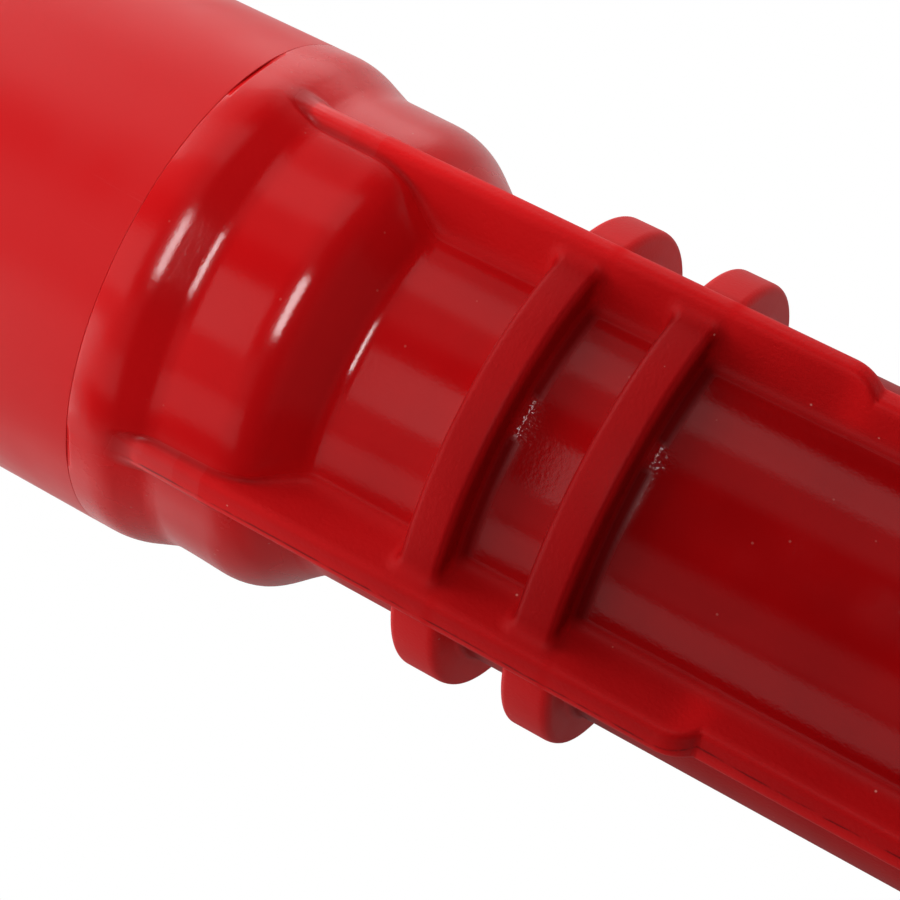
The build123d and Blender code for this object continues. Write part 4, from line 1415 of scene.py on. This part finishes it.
@dataclass
class Moulding:
    """Builds the neck's mesh and dresses it. Its grades run from the polished material to the grained one."""

    neck: Neck
    grades: list[bpy.types.Material]
    look: NeckLook = field(default_factory=NeckLook)
    nicks: tuple[Nick, ...] = (Nick(44.0, 7.0, 0.75), Nick(-51.0, 6.0, 0.28), Nick(150.0, 8.0, 0.7))
    nick_depth: float = 0.00033
    nick_reach: float = 0.0016
    nick_edge: float = 0.001
    flash_width: float = 0.00014
    flash_reach: float = 0.0004  # from the rim
    flash_least: float = 0.02
    flash_rise: float = 0.00002
    flash_dips: float = 0.00005
    flash_sharpness: float = 3.0
    flash_waves: tuple[float, float] = (900.0, 2600.0)  # to the metre
    crease: float = 50.0
    seat_segments: int = 48
    end_gap: float = 10 * LEVEL  # from the skin's top and bottom ends
    skin_gap: float = 0.0006  # faces that lie this far from the form aren't part of the skin
    bore_gap: float = 0.0001
    bore_tilt: float = 0.5  # the most that the normals of its faces point up or down
    bore_wall: float = 0.0018  # how deep in the wall the faces of the bore and the recess lie at least

    def __post_init__(self) -> None:
        """Work out the neck's form."""
        self.form = NeckForm(self.neck)

    def build(self) -> bpy.types.Object:
        """Spin the rows, draw the fins out of them, settle the skin and cut the screw seats.

        Returns:
            The neck's object.
        """
        bm = bmesh.new()
        self.spin(bm)
        piece = finished("finned_neck", bm, self.grades[0], self.crease)
        for grade in self.grades[1:]:
            piece.data.materials.append(grade)
        self.cut_seats(piece)
        self.dress(piece)
        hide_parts("neck_shell")
        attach(piece, "guide_unit")
        return piece

    def spin(self, bm: bmesh.types.BMesh) -> None:
        """Spin the rows a full turn and settle every vertex on the form.

        Args:
            bm: The mesh to add to.
        """
        neck = self.neck
        rows = neck.rows()
        outside = len(rows)
        rows = rows + neck.inside()
        rims = neck.rim_at(np.array([height for _, height in rows]))
        layout = FinLayout(neck)
        columns = len(layout.stations)
        mark = bm.verts.layers.int.new("row")
        turned(bm, rows, columns, mark)
        skin = []
        for vert in bm.verts:
            row = vert[mark]
            radius, height = rows[row]
            turn = math.atan2(vert.co.x, -vert.co.y) % math.tau
            station = layout.stations[round(turn / math.tau * columns) % columns]
            azimuth, reach = layout.place(station, radius, height, rims[row])
            reach = reach if row < outside else radius
            vert.co.x = reach * math.sin(math.radians(azimuth))
            vert.co.y = -reach * math.cos(math.radians(azimuth))
            if row < outside:
                skin.append(vert)
        points = np.array([vert.co for vert in skin])
        points[:, 2] = neck.swollen(points[:, 2], azimuths(points))
        hold = points[:, 2] > neck.seam_height - LEVEL
        level = hold | (points[:, 2] < neck.bottom + LEVEL)
        settled = self.form.settle(points, level)
        settled[hold] = points[hold]
        for vert, place in zip(skin, settled + self.wear(settled, ~level)):
            vert.co = place

    def wear(self, points: np.ndarray, free: np.ndarray) -> np.ndarray:
        """Work out the parting line's ragged ridge and the nicks in the top edge.

        Args:
            points: Points on the skin.
            free: Which of them may move.

        Returns:
            How far each point moves.
        """
        neck = self.neck
        _, normal, _ = self.form.measure(points)
        push = np.zeros(len(points))
        strength = self.parting(points)
        coarse, fine = self.flash_waves
        for index in np.nonzero(strength > self.flash_least)[0]:
            place = points[index]
            ragged = noise.noise(Vector(place * coarse)) + 0.5 * noise.noise(Vector(place * fine))
            dip = self.flash_dips * min(1.0, max(0.0, ragged * self.flash_sharpness))
            push[index] = strength[index] * (self.flash_rise - dip)
        push *= free
        move = normal * push[:, None]
        radius = np.hypot(points[:, 0], points[:, 1])
        radial = points[:, :2] / radius[:, None]
        near_top = ramp(points[:, 2], neck.seam_height - self.nick_reach, self.nick_reach)
        outer = radius > neck.collar_radius - self.nick_edge
        nick = self.nick(points) * near_top ** 2 * outer * self.nick_depth
        move[:, :2] -= radial * nick[:, None]
        return move

    def nick(self, points: np.ndarray) -> np.ndarray:
        """Give how deep the top edge is nicked at each azimuth."""
        turn = azimuths(points)
        return np.max([nick.share * bell(turn, nick.azimuth, nick.width) for nick in self.nicks], axis=0)

    def parting(self, points: np.ndarray) -> np.ndarray:
        """Work out how close each point lies to a parting line.

        Args:
            points: Points on the skin.

        Returns:
            The closeness, from 0 to 1.
        """
        neck = self.neck
        radius = np.hypot(points[:, 0], points[:, 1])
        rim = neck.rim_at(points[:, 2])
        on_rim = np.abs(radius - rim) < self.flash_reach
        strength = np.zeros(len(points))
        turn = azimuths(points)
        for fin, (_, end, parting) in enumerate(neck.rims()):
            if parting:
                rows = zip(rim, points[:, 2])
                reach = np.array([neck.parting_reach(here, fin, height) for here, height in rows])
                centre = end - np.degrees(reach / rim)
                off = np.radians((turn - centre + 180) % 360 - 180) * rim
                strength = np.maximum(strength, bell(off, 0.0, self.flash_width) * on_rim)
        return strength

    def cut_seats(self, piece: bpy.types.Object) -> None:
        """Cut the flat seats of the neck screws.

        Args:
            piece: The neck's object.
        """
        neck = self.neck
        reach = neck.radius - neck.screw_seat_depth + neck.screw_seat_cut / 2
        seats = bmesh.new()
        for index in range(4):
            away = Matrix.Translation((reach, 0, neck.screw_height))
            tip = Matrix.Rotation(math.pi / 2, 4, "Y")
            bmesh.ops.create_cone(
                seats,
                cap_ends=True,
                segments=self.seat_segments,
                radius1=neck.screw_seat_radius,
                radius2=neck.screw_seat_radius,
                depth=neck.screw_seat_cut,
                matrix=Matrix.Rotation(index * math.pi / 2, 4, "Z") @ away @ tip,
            )
        cut_away(piece, seats)

    def dress(self, piece: bpy.types.Object) -> None:
        """Give the skin its attributes, its materials and its exact shading normals.

        Args:
            piece: The neck's object.
        """
        mesh, neck, look = piece.data, self.neck, self.look
        points = read(mesh.vertices, "co", 3)
        distance, normal, on_fin = self.form.measure(points)
        height, azimuth = points[:, 2], azimuths(points)
        hoop = ramp(np.hypot(points[:, 0], points[:, 1]), neck.radius + look.hoop_start, look.hoop_ramp)
        hoop *= (height < neck.seam_height - neck.neck_depth) & (height > neck.foot_top + neck.foot_taper)
        skin = Skin(points, normal, on_fin, hoop, azimuth, neck.fold(azimuth))
        ripple, matt_root = look.ripples(neck, skin)
        dull = look.dullness(skin, matt_root)
        values = {
            "tone": look.tone(neck, skin, matt_root),
            "rough": look.rough(skin, dull, matt_root),
            "flash": self.parting(points),
            "ripple": ripple,
        }
        for name, numbers in values.items():
            layer = mesh.attributes.new(name, "FLOAT", "POINT")
            layer.data.foreach_set("value", np.ascontiguousarray(numbers, dtype=np.float32))
        self.grade(mesh, skin, distance, dull)

    def grade(self, mesh: bpy.types.Mesh, skin: Skin, distance: np.ndarray, dull: np.ndarray) -> None:
        """Sort the faces by how matt they are, and set the exact normals of the skin and of the bore.

        Args:
            mesh: The neck's mesh.
            skin: Its vertices.
            distance: How far they lie from the form.
            dull: Their shares of the matt finish.
        """
        neck, points = self.neck, skin.points
        radius = np.hypot(points[:, 0], points[:, 1])
        loops = read(mesh.loops, "vertex_index", kind=np.int32)
        starts = read(mesh.polygons, "loop_start", kind=np.int32)
        flat = read(mesh.polygons, "normal", 3)
        counts = np.diff(np.append(starts, len(loops)))
        owner = np.repeat(np.arange(len(starts)), counts)
        on_form = np.maximum.reduceat(np.abs(distance[loops]), starts) < self.skin_gap
        on_form &= np.minimum.reduceat(skin.height[loops], starts) < neck.seam_height - self.end_gap
        on_form &= np.maximum.reduceat(skin.height[loops], starts) > neck.bottom + self.end_gap
        last = len(self.grades) - 1
        grade = np.where(on_form, np.rint(np.add.reduceat(dull[loops], starts) / counts * last), last)
        mesh.polygons.foreach_set("material_index", grade.astype(np.int32))
        in_bore = np.abs(flat[:, 2]) < self.bore_tilt
        in_bore &= np.maximum.reduceat(radius[loops], starts) < neck.recess_radius + self.bore_gap
        in_bore &= np.maximum.reduceat(distance[loops], starts) < -self.bore_wall
        inward = -points / radius[:, None]
        inward[:, 2] = 0.0
        corner_normals = flat[owner]
        for chosen, normals in ((on_form, skin.normal), (in_bore, inward)):
            corner_normals[chosen[owner]] = normals[loops][chosen[owner]]
        mesh.normals_split_custom_set(corner_normals.tolist())


# ---------------------------------------------------------------------------------------------------------
# Barrel
# ---------------------------------------------------------------------------------------------------------


@dataclass
class Barrel:
    """The hammer's smooth barrel."""

    bottom: float = 0.200005
    top: float = 0.6403
    radius: float = 0.038
    wall: float = 0.003
    rim_round: float = 0.00013
    rim_steps: int = 4
    longest_run: float = 0.02
    steps: int = 256

    def build(self, material: bpy.types.Material) -> bpy.types.Object:
        """Spin the barrel's wall.

        Args:
            material: Its material.

        Returns:
            The barrel's object.
        """
        bore = self.radius - self.wall
        outline = sleeve(bore, self.radius, self.bottom, self.top, self.rim_round, self.rim_steps)
        bm = bmesh.new()
        turned(bm, divided(outline, self.longest_run), self.steps)
        piece = finished("barrel", bm, material)
        weigh_normals(piece)
        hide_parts("barrel_shell")
        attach(piece, "hammer")
        return piece


# ---------------------------------------------------------------------------------------------------------
# Grips
# ---------------------------------------------------------------------------------------------------------


@dataclass
class Grip:
    """A ribbed rubber grip on the upright of one handle."""

    side: int
    reach: float = 0.095
    bottom: float = 0.3552
    length: float = 0.150
    radius: float = 0.01408
    bore: float = 0.0101
    end_round: float = 0.002
    end_steps: int = 5
    groove_pitch: float = 0.024
    groove_width: float = 0.0011
    groove_depth: float = 0.0014
    rib_pitch: float = 0.003
    rib_depth: float = 0.0007
    smooth_end: float = 0.004
    smooth_ramp: float = 0.001
    longest_run: float = 0.0005
    steps: int = 72

    def sink(self, height: float) -> float:
        """Give how far the ribs and the ring grooves go in at a height.

        Args:
            height: The height above the grip's middle.

        Returns:
            The depth.
        """
        groove = (height + self.groove_pitch / 2) % self.groove_pitch - self.groove_pitch / 2
        to_end = self.length / 2 - abs(height) - self.smooth_end
        near_end = min(1.0, max(0.0, to_end / self.smooth_ramp))
        ring = self.groove_depth * math.exp(-((groove / self.groove_width) ** 2))
        rib = self.rib_depth * (0.5 - 0.5 * math.cos(math.tau * height / self.rib_pitch)) ** 2
        return max(ring, rib) * near_end

    def build(self, material: bpy.types.Material) -> bpy.types.Object:
        """Spin the grip on its handle.

        Args:
            material: Its material.

        Returns:
            The grip's object.
        """
        name = "right" if self.side > 0 else "left"
        top, middle = self.bottom + self.length, self.bottom + self.length / 2
        outline = sleeve(self.bore, self.radius, self.bottom, top, self.end_round, self.end_steps)
        outline = [
            (radius - self.sink(height - middle) if radius > self.radius - LEVEL else radius, height)
            for radius, height in divided(outline, self.longest_run)
        ]
        bm = bmesh.new()
        turned(bm, outline, self.steps)
        bmesh.ops.translate(bm, verts=bm.verts, vec=(self.side * self.reach, 0, 0))
        piece = finished(f"ribbed_grip_{name}", bm, material)
        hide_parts(f"grip_{name}")
        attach(piece, "hammer")
        return piece


# ---------------------------------------------------------------------------------------------------------
# Sub-assemblies
# ---------------------------------------------------------------------------------------------------------


@dataclass
class SubAssembly:
    """A group of pieces that move together, with the CAD nodes that keep their shape."""

    name: str
    nodes: tuple[str, ...]

    def dress(self, materials: dict[Slot, bpy.types.Material]) -> None:
        """Give each CAD node the finish of its slot.

        Args:
            materials: The material of each slot.
        """
        slots = {part["node"]: Slot(part["material_slot"]) for part in frame["record"]["subparts"]}
        for name in self.nodes:
            for material_slot in frame["nodes"][name].material_slots:
                material_slot.material = materials[slots[name]]

    def build(self, materials: dict[Slot, bpy.types.Material]) -> list[bpy.types.Object]:
        """Build the pieces that stand in for CAD nodes. The plain group has none."""
        return []


@dataclass
class LowerUnit(SubAssembly):
    """The unit that stands over the post: guide tube, anvil, mouth ring and finned neck."""

    name: str = "lower unit"
    nodes: tuple[str, ...] = (
        "guide_tube", "anvil", "anvil_wear_ring", "anvil_pin_upper", "anvil_pin_lower", "post_pad",
        "pad_screw", "mouth_ring", "mouth_screws", "neck_shell", "neck_screws", "buffer_ring",
    )
    neck: Neck = field(default_factory=Neck)

    def build(self, materials: dict[Slot, bpy.types.Material]) -> list[bpy.types.Object]:
        """Build the finned neck.

        Args:
            materials: The material of each slot.

        Returns:
            The neck's object.
        """
        grades = [materials[Slot.RED_MOULDING]] + [grade.build() for grade in MATT_GRADES]
        return [Moulding(self.neck, grades).build()]


@dataclass
class SlideBush(SubAssembly):
    """The bronze bush between the guide tube and the barrel."""

    name: str = "slide bush"
    nodes: tuple[str, ...] = ("guide_bush",)


@dataclass
class Hammer(SubAssembly):
    """The sliding hammer: barrel, weight, cap, clamps, handles and grips."""

    name: str = "hammer"
    nodes: tuple[str, ...] = (
        "barrel_shell", "barrel_liner", "lower_snap_ring", "upper_snap_ring", "wiper_seal", "strike_weight",
        "top_cap", "cap_washer", "cap_bolt", "cap_side_screws", "lower_clamp_left", "lower_clamp_right",
        "upper_clamp_left", "upper_clamp_right", "lower_clamp_bolts", "upper_clamp_bolts", "lower_clamp_nuts",
        "upper_clamp_nuts", "handle_left", "handle_right", "grip_left", "grip_right", "handle_lock_screws",
    )
    barrel: Barrel = field(default_factory=Barrel)
    grips: tuple[Grip, Grip] = field(default_factory=lambda: (Grip(-1), Grip(1)))

    def build(self, materials: dict[Slot, bpy.types.Material]) -> list[bpy.types.Object]:
        """Build the barrel and the grips.

        Args:
            materials: The material of each slot.

        Returns:
            Their objects.
        """
        pieces = [self.barrel.build(materials[Slot.RED_BARREL])]
        return pieces + [grip.build(materials[Slot.GRIP_RUBBER]) for grip in self.grips]


# ---------------------------------------------------------------------------------------------------------
# Studio
# ---------------------------------------------------------------------------------------------------------


@dataclass(frozen=True)
class Softbox:
    """A rectangular studio lamp that faces a point."""

    name: str
    azimuth: float
    elevation: float
    distance: float
    width: float
    height: float
    radiance: float
    tint: Colour = (1.0, 1.0, 1.0)

    def build(self, target: Vector) -> bpy.types.Object:
        """Hang the lamp.

        Args:
            target: The point that it faces.

        Returns:
            The lamp's object.
        """
        lamp = bpy.data.lights.new(self.name, "AREA")
        lamp.shape = "RECTANGLE"
        lamp.size, lamp.size_y = self.width, self.height
        lamp.energy = self.radiance * math.pi * self.width * self.height
        lamp.color = self.tint
        a, e = math.radians(self.azimuth), math.radians(self.elevation)
        out = Vector((math.sin(a) * math.cos(e), -math.cos(a) * math.cos(e), math.sin(e)))
        made = bpy.data.objects.new(self.name, lamp)
        made.location = target + out * self.distance
        made.rotation_mode = "QUATERNION"
        made.rotation_quaternion = out.to_track_quat("Z", "Y")
        made.visible_camera = False
        bpy.context.scene.collection.objects.link(made)
        return made


@dataclass(frozen=True)
class Glow:
    """A soft patch of light in the room's walls, between two azimuths and two elevations in degrees.

    It is there on both sides, or only towards +X at 1 and -X at -1.
    """

    near: float
    far: float
    low: float
    high: float
    radiance: float
    soft: float = 4.0
    side: int = 0

    def window(self, room: Nodes, angle: Socket, start: float, end: float) -> Socket:
        """Give 1 between two angles and 0 outside them, with soft edges.

        Args:
            room: The room's nodes.
            angle: The angle's socket.
            start: Where the window starts.
            end: Where it ends.

        Returns:
            The window's socket.
        """
        half = self.soft / 2
        rise = room.spread(angle, start - half, start + half)
        return room.math("MULTIPLY", rise, room.spread(angle, end - half, end + half, 1.0, 0.0))

    def patch(self, room: Nodes, azimuth: Socket, elevation: Socket) -> Socket:
        """Draw the patch.

        Args:
            room: The room's nodes.
            azimuth: The azimuth's socket.
            elevation: The elevation's socket.

        Returns:
            The socket of the radiance in each direction.
        """
        across = self.window(room, azimuth, self.near, self.far)
        along = self.window(room, elevation, self.low, self.high)
        return room.math("MULTIPLY", room.math("MULTIPLY", across, along), self.radiance)


@dataclass
class Studio:
    """A white room that is dark behind the camera, a pale floor and softboxes."""

    target: Vector = field(default_factory=lambda: Vector((0, 0, 0.13)))
    floor_size: float = 12.0
    floor_greys: tuple[Colour, Colour] = ((0.42, 0.42, 0.43), (0.46, 0.46, 0.46))
    floor_roughness: float = 0.8
    floor_fade: tuple[float, float] = (0.3, 3.0)
    floor_glow: tuple[float, float] = (0.58, 1.0)

    def softboxes(self) -> list[Softbox]:
        """List the lamps.

        Returns:
            The lamps, each with its azimuth, elevation, distance, width, height and radiance.
        """
        return [
            Softbox("front strip", 3, -6.5, 1.2, 0.58, 0.18, 25.0),
            Softbox("front overhead", 0, 64, 1.3, 1.4, 0.9, 2.1),
            Softbox("right key", 104, 22, 1.3, 0.8, 0.8, 1.3),
            Softbox("left key", -104, 28, 1.3, 0.8, 0.8, 0.5),
            Softbox("right overhead", 62, 48, 1.3, 1.0, 0.7, 2.9),
            Softbox("left overhead", -62, 46, 1.3, 1.0, 0.7, 2.5),
        ]

    def glows(self) -> list[Glow]:
        """List the patches of light in the walls.

        Returns:
            The patches, each with its azimuths, elevations, radiance and softness.
        """
        return [
            Glow(-5, 24, 16, 42, 1.2, 5.0, side=-1),
            Glow(22, 44, -6, 50, 0.24, 10.0),
            Glow(42, 62, -6, 50, 0.85, 7.0, side=1),
            Glow(46, 65, -6, 50, 0.66, 5.0, side=-1),
            Glow(62, 80, 10, 50, 0.30, 10.0, side=1),
            Glow(80, 100, -6, 90, 0.7, 12.0, side=1),
            Glow(80, 112, -6, 90, 0.4, 12.0, side=-1),
            Glow(100, 190, 20, 90, 1.0, 12.0, side=1),
            Glow(112, 190, 20, 90, 1.0, 12.0, side=-1),
            Glow(100, 190, -6, 20, 0.85, 12.0, side=1),
            Glow(112, 190, -6, 20, 0.40, 12.0, side=-1),
            Glow(85, 190, -90, -10, 0.75, 16.0, side=1),
            Glow(85, 190, -90, -10, 0.40, 16.0, side=-1),
            Glow(-10, 50, -90, -30, 0.10, 16.0),
        ]

    def build(self) -> None:
        """Set up the room, the floor and the lamps."""
        self.build_room()
        self.build_floor()
        for softbox in self.softboxes():
            softbox.build(self.target)

    def build_room(self) -> None:
        """Make the surroundings: white to look at, and patches of light in reflections."""
        world = bpy.data.worlds.new("studio")
        bpy.context.scene.world = world
        world.use_nodes = True
        room = Nodes(world.node_tree)
        room.tree.nodes.clear()
        split = room.node("ShaderNodeSeparateXYZ")
        room.feed(split.inputs[0], room.node("ShaderNodeTexCoord").outputs["Generated"])
        right, back, up = split.outputs
        azimuth = room.math("ARCTAN2", right, room.math("MULTIPLY", back, -1.0))
        azimuth = room.math("MULTIPLY", azimuth, math.degrees(1))
        elevation = room.math("MULTIPLY", room.math("ARCSINE", up), math.degrees(1))
        turns = {0: room.math("ABSOLUTE", azimuth), 1: azimuth, -1: room.math("MULTIPLY", azimuth, -1.0)}
        radiance: object = 0.0
        for glow in self.glows():
            radiance = room.math("ADD", radiance, glow.patch(room, turns[glow.side], elevation))
        lit = room.node("ShaderNodeBackground")
        room.feed(lit.inputs["Strength"], radiance)
        seen = room.node("ShaderNodeBackground")
        seen.inputs["Color"].default_value = (1, 1, 1, 1)
        choose = room.node("ShaderNodeMixShader")
        ray = room.node("ShaderNodeLightPath").outputs["Is Camera Ray"]
        for socket, value in zip(choose.inputs, (ray, lit.outputs[0], seen.outputs[0])):
            room.feed(socket, value)
        room.feed(room.node("ShaderNodeOutputWorld").inputs[0], choose.outputs[0])

    def build_floor(self) -> None:
        """Lay a plain pale floor that turns as white as the room far away, so that its edge isn't seen."""
        shade = Shade("pale floor")
        shade.set(Base_Color=shade.mix(shade.noise(3, 2), *self.floor_greys), Roughness=self.floor_roughness)
        away = shade.node("ShaderNodeVectorMath", operation="LENGTH")
        shade.feed(away.inputs[0], shade.place)
        glow = shade.spread(away.outputs["Value"], *self.floor_fade, *self.floor_glow)
        shade.set(Emission_Color=(1.0, 1.0, 1.0, 1.0), Emission_Strength=glow)
        bm = bmesh.new()
        bmesh.ops.create_grid(bm, x_segments=1, y_segments=1, size=self.floor_size / 2)
        floor = finished("floor", bm, shade.material)
        floor.visible_glossy = False
        floor.visible_diffuse = False


@dataclass(frozen=True)
class Viewpoint:
    """The camera, close to the neck and looking up along it."""

    place: tuple[float, float, float] = (-0.01503, -0.30488, 0.06714)
    right: tuple[float, float, float] = (0.46977, 0.24289, -0.84872)
    forward: tuple[float, float, float] = (0.02948, 0.95655, 0.29007)
    lens: float = 91.776
    sensor: float = 36.0
    clip: tuple[float, float] = (0.01, 100.0)

    def build(self) -> bpy.types.Object:
        """Set up the camera.

        Returns:
            The camera's object.
        """
        lens = bpy.data.cameras.new("camera")
        lens.lens = self.lens
        lens.sensor_width = self.sensor
        lens.clip_start, lens.clip_end = self.clip
        camera = bpy.data.objects.new("camera", lens)
        back = -Vector(self.forward).normalized()
        right = Vector(self.right)
        right = (right - back * right.dot(back)).normalized()
        up = back.cross(right)
        turn = Matrix((right, up, back)).transposed()
        camera.matrix_world = Matrix.Translation(self.place) @ turn.to_4x4()
        bpy.context.scene.collection.objects.link(camera)
        bpy.context.scene.camera = camera
        return camera


def corners(box: tuple[Vector, Vector]) -> list[list[float]]:
    """Turn a box into plain lists of numbers."""
    return [list(corner) for corner in box]


def main() -> None:
    """Build the visual model and the studio round it."""
    logging.basicConfig(level=logging.INFO, format="%(name)s: %(message)s")
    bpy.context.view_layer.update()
    materials = {slot: finish.build() for slot, finish in FINISHES.items()}
    for assembly in (LowerUnit(), SlideBush(), Hammer()):
        assembly.dress(materials)
        LOG.info("%s: %d CAD nodes dressed", assembly.name, len(assembly.nodes))
        for piece in assembly.build(materials):
            LOG.info("%s: %d faces", piece.name, len(piece.data.polygons))
    Studio().build()
    Viewpoint().build()
    bpy.context.scene.view_settings.view_transform = "Standard"
    bpy.context.view_layer.update()


if __name__ == "__main__":
    main()
